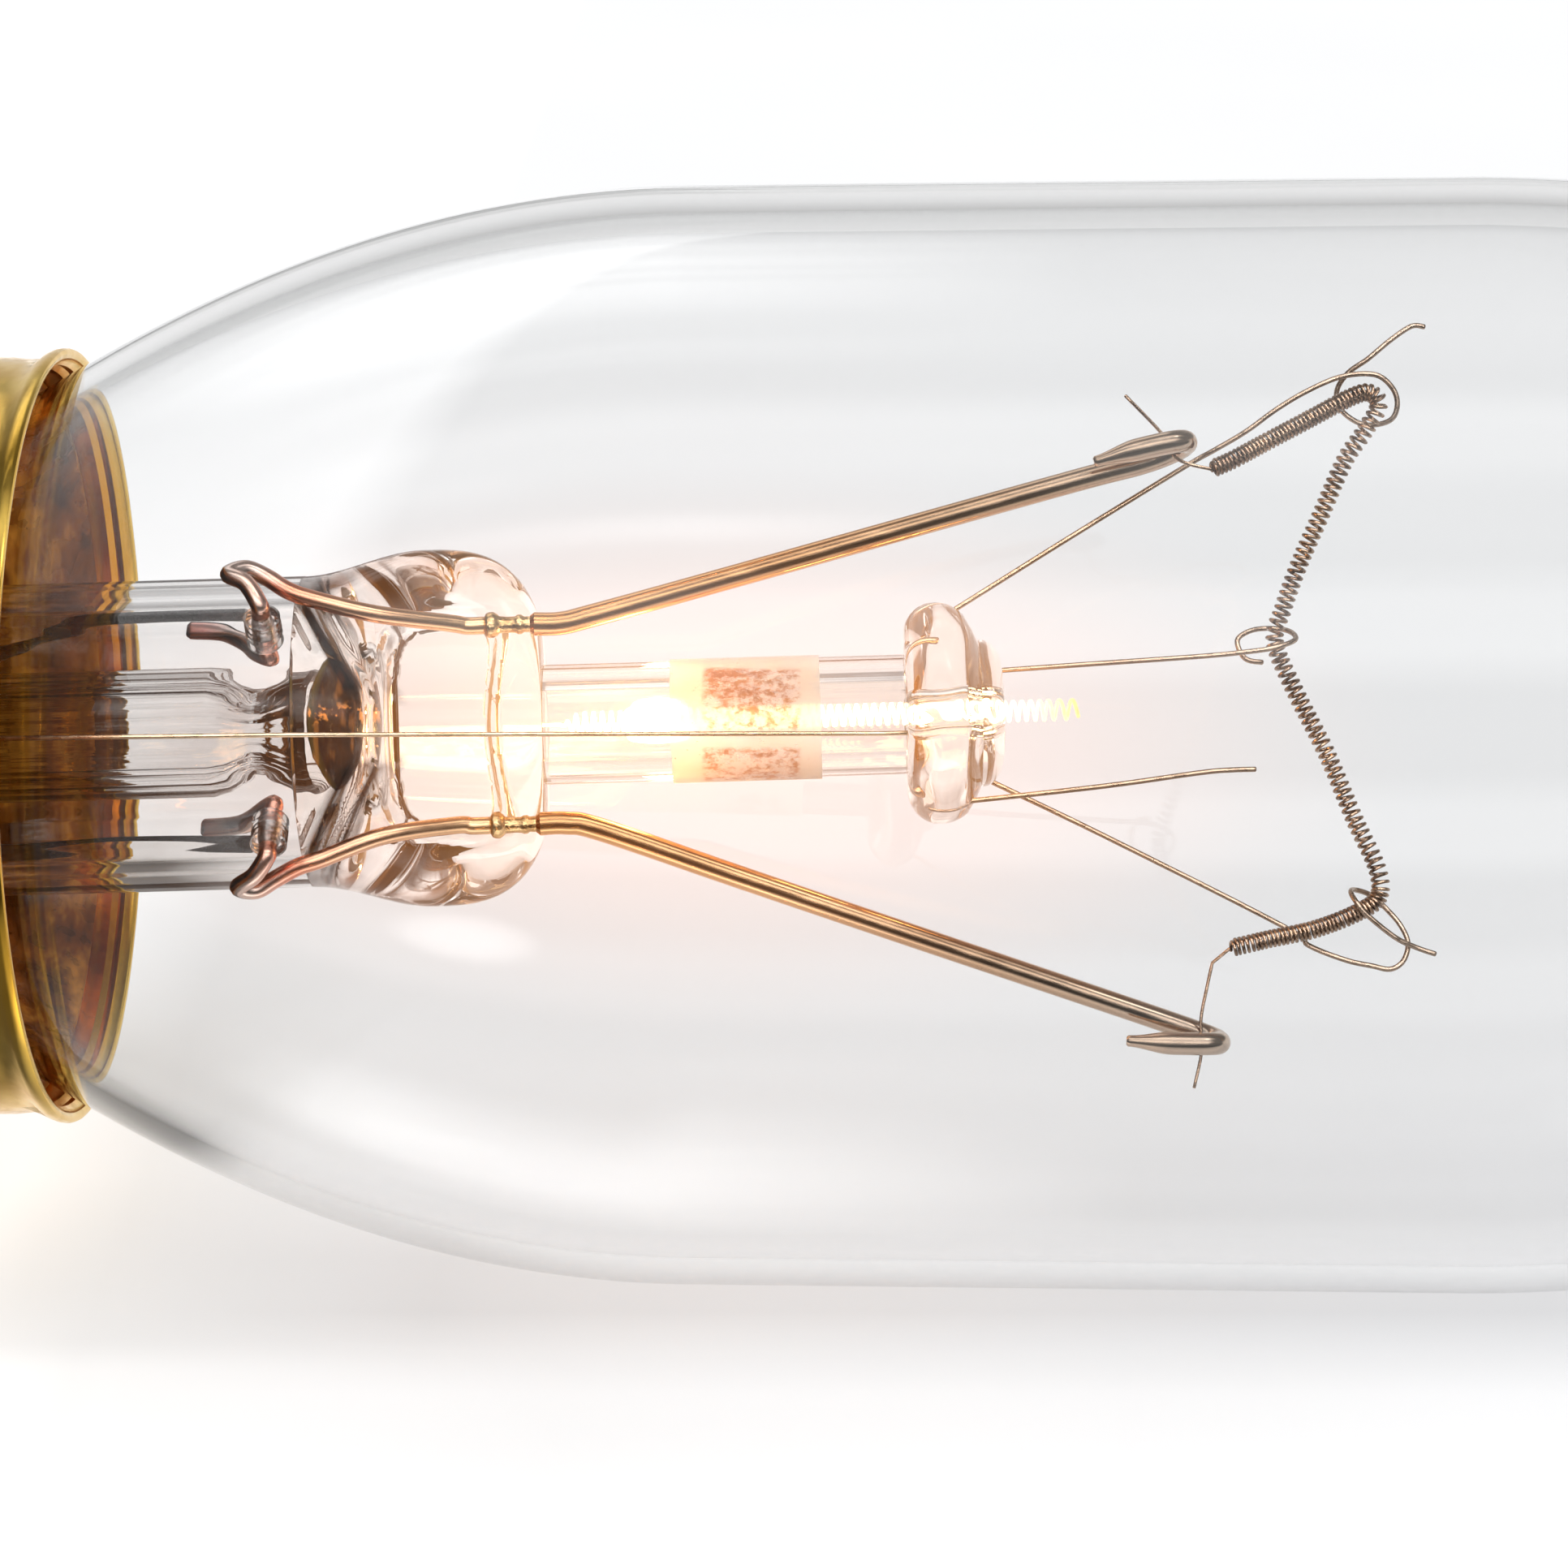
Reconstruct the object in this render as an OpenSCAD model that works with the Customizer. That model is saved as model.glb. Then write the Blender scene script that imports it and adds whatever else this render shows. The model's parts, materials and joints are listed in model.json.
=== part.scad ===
// Tubular clear appliance lamp with an intermediate screw base, lying on its side.
// The lamp axis is X, the screw base points to -X, the glass tip to +X, and the glass rests on Z = 0.

/* [Lamp] */
// Length over all, from the centre contact to the glass tip
lamp_len = 71.4; // [62:0.1:86]
// Largest diameter of the glass, near its round end
glass_d = 25.4; // [22:0.1:31]
// Diameter of the glass where the shoulder meets the straight body
body_d = 25.0; // [20.5:0.1:30.5]
// Wall of the glass bulb
glass_wall = 0.6; // [0.4:0.05:0.9]
// Length of the shoulder, from the rim of the base
shoulder_len = 14.5; // [12:0.1:18]
// Length of the round end of the glass
dome_len = 19; // [13:0.1:23]
// Diameter of the glass at the rim of the base
throat_d = 16.26; // [15.4:0.02:16.6]
// Diameter of the glass neck inside the base
neck_d = 14.0; // [12.8:0.1:14.4]
// Length of the neck inside the base
neck_len = 6.5; // [5:0.1:7.5]

/* [Screw base] */
// Height of the base, from the centre contact to its rim
base_h = 20.5; // [19:0.1:24]
// Diameter over the rolled rim
rim_d = 18.0; // [17.6:0.1:19.5]
// Diameter of the plain skirt
skirt_d = 17.3; // [17:0.05:17.5]
// Length of the plain skirt, with the rim
skirt_len = 5.3; // [4.5:0.1:6]
// Thickness of the brass sheet
sheet = 0.25; // [0.2:0.01:0.32]
// Diameter over the thread
thread_d = 16.6; // [16:0.05:17]
// Depth of the thread
thread_depth = 0.65; // [0.45:0.01:0.75]
// Pitch of the thread
thread_pitch = 2.822; // [2.4:0.001:3.3]
// Length of the threaded sheet below the skirt
thread_len = 10.2; // [9:0.1:12]
// Diameter of the centre contact
contact_d = 5.6; // [4.6:0.1:6.2]
// Thickness of the centre contact
contact_t = 0.6; // [0.4:0.05:1]

/* [Glass stem] */
// Outer diameter of the flare tube
flare_d = 7.14; // [6.6:0.02:8.6]
// Wall of the flare tube
flare_wall = 0.55; // [0.4:0.05:0.6]
// Distance from the rim of the base to the end of the flare tube
flare_len = 5.6; // [5.5:0.1:6.8]
// Outer diameter of the exhaust tube
exhaust_d = 2.9; // [2.4:0.1:3]
// Wall of the exhaust tube
exhaust_wall = 0.5; // [0.35:0.05:0.6]
// Width of the flattened press
press_w = 8.2; // [7.6:0.1:9.9]
// Thickness of the flattened press
press_t = 3.0; // [2.9:0.1:3.6]
// Length of the press
press_len = 5.35; // [4.6:0.05:6.4]
// Diameter of the arbor tube
arbor_d = 2.75; // [2.4:0.05:2.85]
// Wall of the arbor tube
arbor_wall = 0.55; // [0.4:0.05:0.6]
// Free length of the arbor tube, from the press to the button
arbor_len = 8.2; // [6.8:0.1:9.9]
// Diameter of the glass button
button_d = 5.1; // [4.8:0.1:6.2]
// Thickness of the glass button
button_t = 2.25; // [2.1:0.05:2.7]
// Length of the printed band round the arbor tube
band_len = 3.4; // [2.8:0.1:4.1]
// Thickness of the band
band_t = 0.04; // [0.03:0.01:0.1]
// Tilt of the stem in the bulb, in degrees
stem_tilt = 1.7; // [0:0.1:2.5]
// Turn of the stem about the lamp axis, in degrees
stem_turn = 20; // [0:1:60]

/* [Wires] */
// Diameter of the outer leads
outer_lead_d = 0.3; // [0.24:0.01:0.36]
// Diameter of the copper seal wires
seal_wire_d = 0.4; // [0.33:0.01:0.44]
// Diameter of the glass beads round the seal wires
bead_d = 0.8; // [0.66:0.02:0.9]
// Length of the glass beads
bead_len = 1.1; // [0.9:0.05:1.3]
// Distance between the two weld joints, where the inner leads start
weld_gap = 4.5; // [4:0.1:5]
// Diameter of the inner leads
inner_lead_d = 0.53; // [0.44:0.01:0.6]
// Diameter of the filament supports
support_d = 0.14; // [0.11:0.01:0.17]
// Diameter of the straight tie wire
tie_d = 0.11; // [0.09:0.01:0.16]
// Outer diameter of the filament coil
filament_od = 0.44; // [0.36:0.01:0.5]
// Diameter of the filament wire
filament_wire_d = 0.08; // [0.06:0.01:0.09]
// Pitch of the filament's curls, drawn wider apart than they are wound
filament_pitch = 0.7; // [0.66:0.01:0.85]
// Outer diameter of the coil inside the arbor tube
axial_od = 0.53; // [0.44:0.01:0.6]
// Wire diameter of the coil inside the arbor tube
axial_wire_d = 0.09; // [0.07:0.01:0.1]
// Pitch of the coil inside the arbor tube
axial_pitch = 0.68; // [0.64:0.01:0.85]
// Length of that coil past the button
axial_out = 1.75; // [1:0.05:2.2]

/* [Clearances] */
// Play of a wire or bead in the glass round it
seal_gap = 0.01; // [0.005:0.005:0.03]
// Play between pieces that lie on each other
seat_gap = 0.03; // [0.01:0.01:0.06]
// Play round the coil where it leaves the button
coil_gap = 0.12; // [0.08:0.01:0.2]

/* [Hidden] */

$fn = 72;
tip_x = lamp_len - base_h;
rim_x = base_h - lamp_len / 2;
dome_x = tip_x - dome_len;
dome_power = 2.3;
throat_slope = (body_d - throat_d) / shoulder_len;
blend_len = (throat_d - neck_d) / throat_slope;
tilt_x = 2.3;

// Rim and thread of the base, measured from the rim plane towards the contact
rim_h = 0.9;
shoulder_t = 0.3;
solder_r = 0.5;
thread_rows = 30;
plain_band = shoulder_t + 2 * solder_r + thread_len / thread_rows;
cone_len = 0.9;
cone_drop = 0.75;
thread_root_d = thread_d - 2 * thread_depth;
shell_end_x = -skirt_len - thread_len;
solder_h = 0.6;
contact_x = -base_h + solder_h;
shell_bore = thread_root_d / 2 - sheet;

// Stem, in its own frame: x from the rim plane along the stem
flare_bore = flare_d / 2 - flare_wall;
trumpet_x = -2;
exhaust_tip_x = -10.4;
press_start = flare_len + seal_gap;
press_end = flare_len + press_len;
floor_x = flare_len + 1.1;
button_x = press_end + arbor_len;
head_x = button_x + button_t;
exhaust_hole_x = floor_x + 0.5;
exhaust_hole_r = 0.4;
bead_x = flare_len - 0.65;
bead_angle = 42;
bead_from = flare_bore + (flare_wall - bead_len) / 2;
bead_to = bead_from + bead_len;
weld_x = press_end - 1.2;
weld_len = 1.1;
weld_knot = seal_wire_d / 2 + 0.1;
weld_z = weld_gap / 2;
weld_y = -(press_front(weld_x, weld_z) + weld_knot + 3 * seat_gap);
lead_start = weld_x + weld_len;
clamp_y = -(inner_lead_d + filament_wire_d) / 2 - seat_gap;

// Corners of the leads inside the base, picked by hand; x counts from the skirt's end for the upper one,
// and from the exhaust tube's tip for the lower one
outer_upper_base = [[-3.7, 0, shell_bore + 0.25], [-3.6, 0, 5.6], [-3.0, 0, 3.3], [-1.3, 0, 2.2]];
outer_lower_base = [[-1.6, 0, -0.5], [-0.4, 0, -1.7], [2.4, 0, -2.2]];

// Corners along the stem, each as x, distance off the glass there, and angle up or down from the front.
// Those of the leads inside the flare tube count from the rim plane
outer_upper_tube = [[-3, 1.12, 90], [-1.3, 1.02, 90], [-0.4, 0.67, 90], [0.7, 0.36, 86], [1.9, 0.3, 84]];
outer_lower_tube = [[-4, 0.62, 90], [-1.3, 0.42, 90], [-0.2, 0.52, 90], [1.1, 0.67, 90]];
// those inside the flare tube's end count from the beads
outer_upper_end = [[-1.75, 0.29, 79], [-0.65, 0.3, 74]];
outer_lower_end = [[-1.95, 0.59, 80], [-0.65, 0.47, 74]];
seal_upper_stub = [[-1.85, 0.61, 72], [-0.9, 0.63, 64]];
seal_lower_stub = [[-1.65, 0.8, 71], [-0.8, 0.74, 61]];
// those of the hairpins round the flare tube count from the beads too
seal_upper_hairpin = [[-0.3, 0.82, 48], [-0.7, 0.85, 52], [-0.35, 0.79, 56], [0.1, 0.59, 55], [0.6, 0.4, 51]];
seal_lower_hairpin = [[-0.3, 0.78, 47], [-0.7, 0.79, 52], [-0.35, 0.73, 55], [0.1, 0.54, 53], [0.6, 0.39, 50]];
// and these, along the press, have their x as a share of its length
seal_upper_press = [[0.11, 0.27, 47], [0.345, 0.32, 36], [0.635, 0.41, 31]];
seal_lower_press = [[0.09, 0.31, 47], [0.345, 0.32, 34], [0.63, 0.37, 30]];

// Corners of the inner leads, supports and coil; x counts from the front face of the button
lead_upper_route = [
    [-6.1, -0.9, 3.22], [-2.4, -0.5, 4.17], [1.9, -0.1, 5.27], [3.3, 0, 5.6], [4.05, 0, 5.85]
];
lead_lower_route = [
    [-6.3, -1.0, -3.53], [-2.7, -0.6, -4.89], [1.0, -0.1, -6.28], [3.4, 0, -7.18], [4.4, 0, -7.57]
];
support_upper_route = [
    [-1.7, -0.1, 1.98], [-0.85, 0, 2.48], [1.35, 0.3, 3.78], [4.3, 0.62, 5.5], [5.1, 0.45, 5.92],
    [5.8, 0.25, 6.3], [6.5, 0.1, 6.78], [7.2, 0, 7.17], [8.0, -0.02, 7.48], [8.75, -0.05, 7.5],
    [9.15, 0, 7.2], [9.27, 0.05, 6.8], [9.1, 0.15, 6.45], [8.55, 0.4, 6.4], [8.05, 0.45, 6.75],
    [7.95, 0.42, 7.2], [8.2, 0.3, 7.6], [8.65, 0.15, 7.9], [9.15, 0.1, 8.3], [9.65, 0.1, 8.62],
    [9.95, 0.1, 8.6]
];
support_middle_route = [
    [-1.3, 0.8, 0.93], [-0.5, 0.8, 0.95], [2.0, 0.7, 1.05], [4.6, 0.55, 1.15], [5.7, 0.42, 1.22],
    [6.35, 0.35, 1.3], [6.85, 0.6, 1.48], [6.75, 1.0, 1.7], [6.3, 1.2, 1.78], [5.85, 1.1, 1.72],
    [5.55, 0.95, 1.5], [5.7, 0.8, 1.08], [6.1, 0.85, 0.98]
];
support_lower_route = [
    [-1.15, 0.6, -1.15], [-0.2, 0.6, -1.64], [2.3, 0.55, -2.94], [6.35, 0.35, -5.15], [6.9, 0.3, -5.6],
    [7.7, 0.1, -5.95], [8.3, 0, -6.1], [8.7, -0.1, -6.18], [9.0, -0.1, -6.0], [9.13, -0.05, -5.6],
    [9.0, 0.1, -5.2], [8.75, 0.3, -4.85], [8.4, 0.42, -4.5], [8.0, 0.3, -4.35], [7.85, -0.1, -4.4],
    [7.95, -0.4, -4.65], [8.2, -0.44, -4.95], [8.8, -0.4, -5.45], [9.3, -0.3, -5.7], [9.7, -0.3, -5.85]
];
support_spare_route = [
    [-1.7, -0.9, -2.05], [-0.8, -0.9, -2.02], [2.2, -0.85, -1.78], [4.4, -0.8, -1.54], [5.1, -0.8, -1.5],
    [5.65, -0.8, -1.5]
];
filament_axis = [
    [4.9, -0.33, 5.4], [5.4, -0.25, 5.6], [6.3, -0.15, 6.05], [7.2, -0.05, 6.5], [8.2, 0.05, 7.0],
    [8.65, 0.1, 7.1], [8.85, 0.1, 6.8], [8.5, 0.15, 6.2], [8.05, 0.25, 5.55], [7.5, 0.4, 4.35],
    [7.0, 0.6, 3.25], [6.6, 0.72, 2.2], [6.4, 0.8, 1.45], [6.8, 0.75, 0.35], [7.5, 0.6, -1.2],
    [8.05, 0.4, -2.7], [8.5, 0.15, -3.85], [8.5, 0, -4.5], [8.0, -0.1, -4.85], [7.0, -0.2, -5.2],
    [5.9, -0.3, -5.4], [5.0, -0.33, -5.58]
];
// as x and z, because these lie in one plane between the strands of a folded lead
lead_upper_fold = [6.02, 6.02, 5.85, 5.62];
lead_lower_fold = [-7.72, -7.72, -7.68, -7.6];
filament_tail_in = [[3.0, 7.15], [3.85, 6.2], [4.1, 5.7], [4.5, 5.5]];
filament_tail_out = [[4.6, -5.9], [4.45, -6.5], [4.3, -7.2], [4.3, -7.9], [4.1, -8.75]];
// distance along the coil's axis to the corner where its curls fade out, and the length without curls
filament_corner = 4.15;
corner_calm = 1.3;
// the tie wire: x and z of its free end in front of the flare tube, y and z of its end at the button
tie_start = [-1.2, 0];
tie_end = [-1.9, -0.45];

// Vectors, splines and skins
function unit(v) = v / norm(v);
function blend(a, b, t) = a + (b - a) * t;
function ease(t) = let (s = min(1, max(0, t))) s * s * (3 - 2 * s);
function cubic(a, b, c, d, t) =
    0.5 * (2 * b + (c - a) * t + (2 * a - 5 * b + 4 * c - d) * t * t + (3 * b - a - 3 * c + d) * t * t * t);
function spline(p, n) = [
    for (i = [0 : len(p) - 2], k = [0 : n - 1])
        cubic(p[max(i - 1, 0)], p[i], p[i + 1], p[min(i + 2, len(p) - 1)], k / n),
    p[len(p) - 1]
];
function shifted(route, x) = [for (p = route) [p[0] + x, p[1], p[2]]];
function lengths(p) = [
    for (i = 0, s = 0; i < len(p); i = i + 1, s = s + (i < len(p) ? norm(p[i] - p[i - 1]) : 0)) s
];
function at_length(p, acc, s) =
    let (last = len(p) - 1, hit = [for (i = [0 : last - 1]) if (acc[i] <= s && s <= acc[i + 1]) i])
    let (i = len(hit) ? hit[0] : last - 1)
    blend(p[i], p[i + 1], (s - acc[i]) / (acc[i + 1] - acc[i]));
function heading(p, i) = unit(p[min(i + 1, len(p) - 1)] - p[max(i - 1, 0)]);
function ring(c, t, r, sides, aside) =
    let (u = unit(cross(t, aside)), v = cross(t, u))
    [for (k = [0 : sides - 1]) c + r * (cos(360 * k / sides) * u + sin(360 * k / sides) * v)];
function wall_faces(rows, sides, closed) = [
    for (i = [0 : rows - (closed ? 1 : 2)], k = [0 : sides - 1])
        let (a = i * sides + k, b = i * sides + (k + 1) % sides)
        let (j = (i + 1) % rows, c = j * sides + (k + 1) % sides, d = j * sides + k)
        each [[a, d, c], [a, c, b]]
];
function cap_faces(rows, sides) =
    let (last = rows * sides - 1)
    [for (k = [1 : sides - 2]) each [[0, k, k + 1], [last, last - k, last - k - 1]]];

module skin(rings, closed = false) {
    rows = len(rings);
    sides = len(rings[0]);
    polyhedron(
        points = [for (r = rings) each r],
        faces = concat(wall_faces(rows, sides, closed), closed ? [] : cap_faces(rows, sides)),
        convexity = 10
    );
}

module wire(path, d, sides = 8, aside = [0, 1, 0]) {
    skin([for (i = [0 : len(path) - 1]) ring(path[i], heading(path, i), d / 2, sides, aside)]);
}

// Coil of curls along an axis, as points 8 to a curl; calm is where the curls fade out
function coil(axis, od, wire_d, pitch, calm_at, calm_len, steps = 8) =
    let (acc = lengths(axis), total = acc[len(acc) - 1])
    let (curls = floor(total / pitch), n = curls * steps, radius = (od - wire_d) / 2)
    [
        for (i = [0 : n])
            let (s = total * i / n, c = at_length(axis, acc, s))
            let (ahead = at_length(axis, acc, min(total, s + 0.05)))
            let (behind = at_length(axis, acc, max(0, s - 0.05)))
            let (t = unit(ahead - behind), u = unit(cross(t, [0, 1, 0])), v = cross(t, u))
            let (ends = ease(min(s, total - s) / (0.6 * pitch)))
            let (calm = ease((abs(s - calm_at) - calm_len / 2) / 0.5))
            c + radius * ends * calm * (cos(360 * i / steps) * u + sin(360 * i / steps) * v)
    ];

// Least gap of a wire to itself, between places that are over half a curl apart along it
function least_gap(p, d, reach) =
    let (acc = lengths(p), last = len(p) - 1)
    min([for (i = [0 : last - 1], j = [i + 1 : last]) if (acc[j] - acc[i] > reach) norm(p[j] - p[i])]) - d;
function half_curl(od, d, pitch) = norm([pitch, PI * (od - d)]) / 2;

// Outline points are [radius, distance along the axis]
module turned(outline) {
    rotate([0, 90, 0]) rotate_extrude() polygon(outline);
}

module rod_between(a, b, r) {
    way = b - a;
    lean = acos(way[2] / norm(way));
    translate(a) rotate([0, lean, atan2(way[1], way[0])]) cylinder(r = r, h = norm(way));
}

module lamp_frame() {
    translate([rim_x, 0, glass_d / 2]) children();
}

module stem_frame() {
    lamp_frame() rotate([-stem_turn, 0, 0])
        translate([tilt_x, 0, 0]) rotate([0, -stem_tilt, 0]) translate([-tilt_x, 0, 0]) children();
}

// Glass bulb
function glass_r(x) =
    x < -blend_len ? neck_d / 2 :
    x < 0 ? neck_d / 2 + (throat_d - neck_d) / 2 * pow((x + blend_len) / blend_len, 2) :
    x < shoulder_len ? body_d / 2 - (body_d - throat_d) / 2 * pow((shoulder_len - x) / shoulder_len, 2) :
    x < dome_x ? blend(body_d, glass_d, (x - shoulder_len) / (dome_x - shoulder_len)) / 2 :
    glass_d / 2 * pow(max(0, 1 - pow((x - dome_x) / dome_len, 2)), 1 / dome_power);

function side_outline(inset) = [
    [glass_r(-neck_len) - inset, -neck_len],
    for (i = [0 : 6]) let (x = blend_len * (i / 6 - 1)) [glass_r(x) - inset, x],
    for (i = [1 : 14]) let (x = shoulder_len * i / 14) [glass_r(x) - inset, x]
];
function dome_outline(inset) = [
    for (i = [0 : 18])
        let (a = 5 * i, grow = 1 - inset / (glass_d / 2))
        [
            i == 18 ? 0 : (glass_d / 2 - inset) * pow(cos(a), 2 / dome_power),
            dome_x + (dome_len - inset) * sin(a)
        ]
];

module envelope() {
    outer = concat(side_outline(0), dome_outline(0));
    inner = concat(side_outline(glass_wall), dome_outline(glass_wall));
    back = [for (i = [len(inner) - 1 : -1 : 0]) inner[i]];
    color([0.86, 0.9, 0.92, 0.35]) lamp_frame() turned(concat(outer, back));
}

// Brass base
function thread_out(x, angle) =
    let (along = -skirt_len - x)
    let (fade = ease((along - plain_band) / 0.8) * ease((thread_len - cone_len - along) / 0.8))
    let (cone = cone_drop * ease((along - (thread_len - cone_len)) / cone_len))
    thread_root_d / 2 - cone + thread_depth * fade * (0.5 + 0.5 * cos(360 * x / thread_pitch - angle));

function thread_ring(x, inset, sides) = [
    for (k = [0 : sides - 1])
        let (a = 360 * k / sides, r = thread_out(x, a) - inset)
        [x, r * cos(a), r * sin(a)]
];

module thread_sheet() {
    sides = 36;
    first = -skirt_len - shoulder_t / 2;
    stations = [for (i = [0 : thread_rows]) blend(shell_end_x, first, i / thread_rows)];
    skin(
        concat(
            [for (x = stations) thread_ring(x, 0, sides)],
            [for (i = [thread_rows : -1 : 0]) thread_ring(stations[i], sheet, sides)]
        ),
        closed = true
    );
}

module base_shell() {
    r = skirt_d / 2;
    color([0.83, 0.66, 0.25]) lamp_frame() union() {
        turned([
            [shell_bore - 0.05, -skirt_len - shoulder_t], [r, -skirt_len - shoulder_t], [r, -rim_h],
            [blend(r, rim_d / 2, 0.35), -0.55 * rim_h], [rim_d / 2, -0.25 * rim_h], [rim_d / 2, 0],
            [rim_d / 2 - sheet, 0], [rim_d / 2 - sheet - 0.05, -0.25 * rim_h],
            [r - sheet, -rim_h], [r - sheet, -skirt_len], [shell_bore - 0.05, -skirt_len]
        ]);
        thread_sheet();
    }
}

module base_insulator() {
    plug_r = shell_bore - 0.2;
    end_r = thread_root_d / 2 - sheet - cone_drop - 0.1;
    bore = outer_lead_d / 2 + 0.45;
    color([0.09, 0.07, 0.08]) lamp_frame() turned([
        [bore, shell_end_x + 2.6], [plug_r - 0.6, shell_end_x + 2.6], [plug_r, shell_end_x + 2.2],
        [plug_r, shell_end_x + cone_len + 0.3], [end_r, shell_end_x + 0.1], [end_r, shell_end_x - 0.35],
        [contact_d / 2 + 1.3, contact_x + contact_t + 1.2], [contact_d / 2 + 0.6, contact_x + contact_t],
        [bore, contact_x + contact_t]
    ]);
}

module centre_contact() {
    r = contact_d / 2;
    color([0.85, 0.7, 0.32]) lamp_frame() turned([
        [0.5, contact_x + contact_t - seal_gap], [r, contact_x + contact_t - seal_gap],
        [r, contact_x + 0.15], [r - 0.15, contact_x], [0.5, contact_x]
    ]);
}

module centre_solder() {
    r = 1.5;
    dome = solder_h - seal_gap;
    color([0.72, 0.73, 0.74]) lamp_frame() turned(concat(
        [[0, contact_x + 0.4], [0.5 - seal_gap, contact_x + 0.4], [0.5 - seal_gap, contact_x - seal_gap]],
        [for (i = [0 : 6]) let (a = 15 * i) [i == 6 ? 0 : r * cos(a), contact_x - seal_gap - dome * sin(a)]]
    ));
}

module side_solder() {
    x = -skirt_len - shoulder_t - solder_r - seal_gap;
    seat = thread_root_d / 2 + seal_gap;
    color([0.72, 0.73, 0.74]) lamp_frame() rotate([-stem_turn, 0, 0]) difference() {
        translate([x, 0, seat - 0.05]) sphere(r = solder_r);
        rotate([0, 90, 0]) translate([0, 0, x - 1]) cylinder(r = seat, h = 2);
    }
}

module basing_cement() {
    outer_r = skirt_d / 2 - sheet - 2 * seat_gap;
    front = -1.0;
    back = -skirt_len + seat_gap;
    stations = [for (i = [0 : 8]) blend(back, front, i / 8)];
    color([0.36, 0.24, 0.13]) lamp_frame() turned(concat(
        [for (x = stations) [glass_r(x) + 2 * seat_gap, x]],
        [[outer_r, front], [outer_r, back]]
    ));
}

// Glass stem
module flare_tube() {
    rise = (neck_d - flare_d) / 2 - seat_gap;
    // the tilted trumpet clears the end of the neck all round
    tilt_play = neck_d * sin(stem_tilt) + 2 * seat_gap;
    reach = neck_len + trumpet_x + tilt_play;
    gas_side = [
        for (a = [0 : 10 : 90]) [flare_d / 2 + rise * (1 - cos(a)), trumpet_x - reach * sin(a)]
    ];
    air_side = [
        for (a = [90 : -10 : 0])
            [flare_bore + (rise + flare_wall) * (1 - cos(a)), trumpet_x - (reach + flare_wall) * sin(a)]
    ];
    color([0.86, 0.9, 0.92, 0.4]) stem_frame() difference() {
        turned(concat([[flare_d / 2, flare_len]], gas_side, air_side, [[flare_bore, flare_len]]));
        for (side = [-1, 1])
            rod_between(bead_point(bead_from - 1, side), bead_point(bead_to + 1, side), bead_d / 2 + seal_gap);
    }
}

function round_stem(x, r_y, r_z, angle) = [x, -r_y * cos(angle), r_z * sin(angle)];
function bead_point(r, side) = round_stem(bead_x, r, side * r, bead_angle);
function in_tube(corners, x) = [
    for (p = corners) let (r = flare_bore - p[1]) round_stem(x + p[0], r, r, p[2])
];
function round_tube(corners, x) = [
    for (p = corners) let (r = flare_d / 2 + p[1]) round_stem(x + p[0], r, r, p[2])
];
function on_press(corners) = [
    for (p = corners)
        let (x = blend(press_start, press_end, p[0]))
        round_stem(x, press_half_t(p[0]) + p[1], press_half_w(p[0]) + p[1], p[2])
];
function mirrored(path, side) = [for (p = path) [p[0], p[1], side * p[2]]];

module lead_bead(side) {
    r = bead_d / 2;
    waist = seal_wire_d / 2 + seal_gap;
    outline = concat(
        [[waist, 0], [0.75 * r, 0], [0.95 * r, 0.12 * bead_len]],
        [for (i = [0 : 4]) [i % 2 ? 0.9 * r : r, bead_len * (0.25 + 0.125 * i)]],
        [[0.95 * r, 0.88 * bead_len], [0.75 * r, bead_len], [waist, bead_len]]
    );
    color([0.8, 0.72, 0.68, 0.5]) stem_frame() translate(bead_point(bead_from, side))
        rotate([90 - side * bead_angle, 0, 0]) rotate_extrude() polygon(outline);
}

module lead_bead_upper() {
    lead_bead(1);
}

module lead_bead_lower() {
    lead_bead(-1);
}

module exhaust_tube() {
    r = exhaust_d / 2;
    tip = exhaust_tip_x;
    color([0.86, 0.9, 0.92, 0.4]) stem_frame() turned([
        [0, tip], [0.45 * r, tip + 0.12], [0.8 * r, tip + 0.6], [r, tip + 1.4],
        [r, floor_x - seal_gap], [r - exhaust_wall, floor_x - seal_gap],
        [r - exhaust_wall, tip + 1.7], [0.4 * r, tip + 1.0], [0, tip + 0.8]
    ]);
}

// Press: an oval loft, hollow at the flare tube's end and flat at the arbor's
function press_half_w(t) =
    t < 0.5 ? blend(flare_d, press_w, ease(2 * t)) / 2 :
    press_w / 2 * (0.42 + 0.58 * sqrt(max(0, 1 - pow(2 * t - 1, 3))));
function press_half_t(t) = blend(flare_d, press_t, ease(t / 0.75)) / 2;
// depth of its front surface at a place in front of it
function press_front(x, z) =
    let (t = (x - press_start) / (press_end - press_start))
    press_half_t(t) * sqrt(1 - pow(z / press_half_w(t), 2));
function oval(x, half_t, half_w, sides) = [
    for (k = [0 : sides - 1]) [x, half_t * cos(360 * k / sides), half_w * sin(360 * k / sides)]
];

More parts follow.
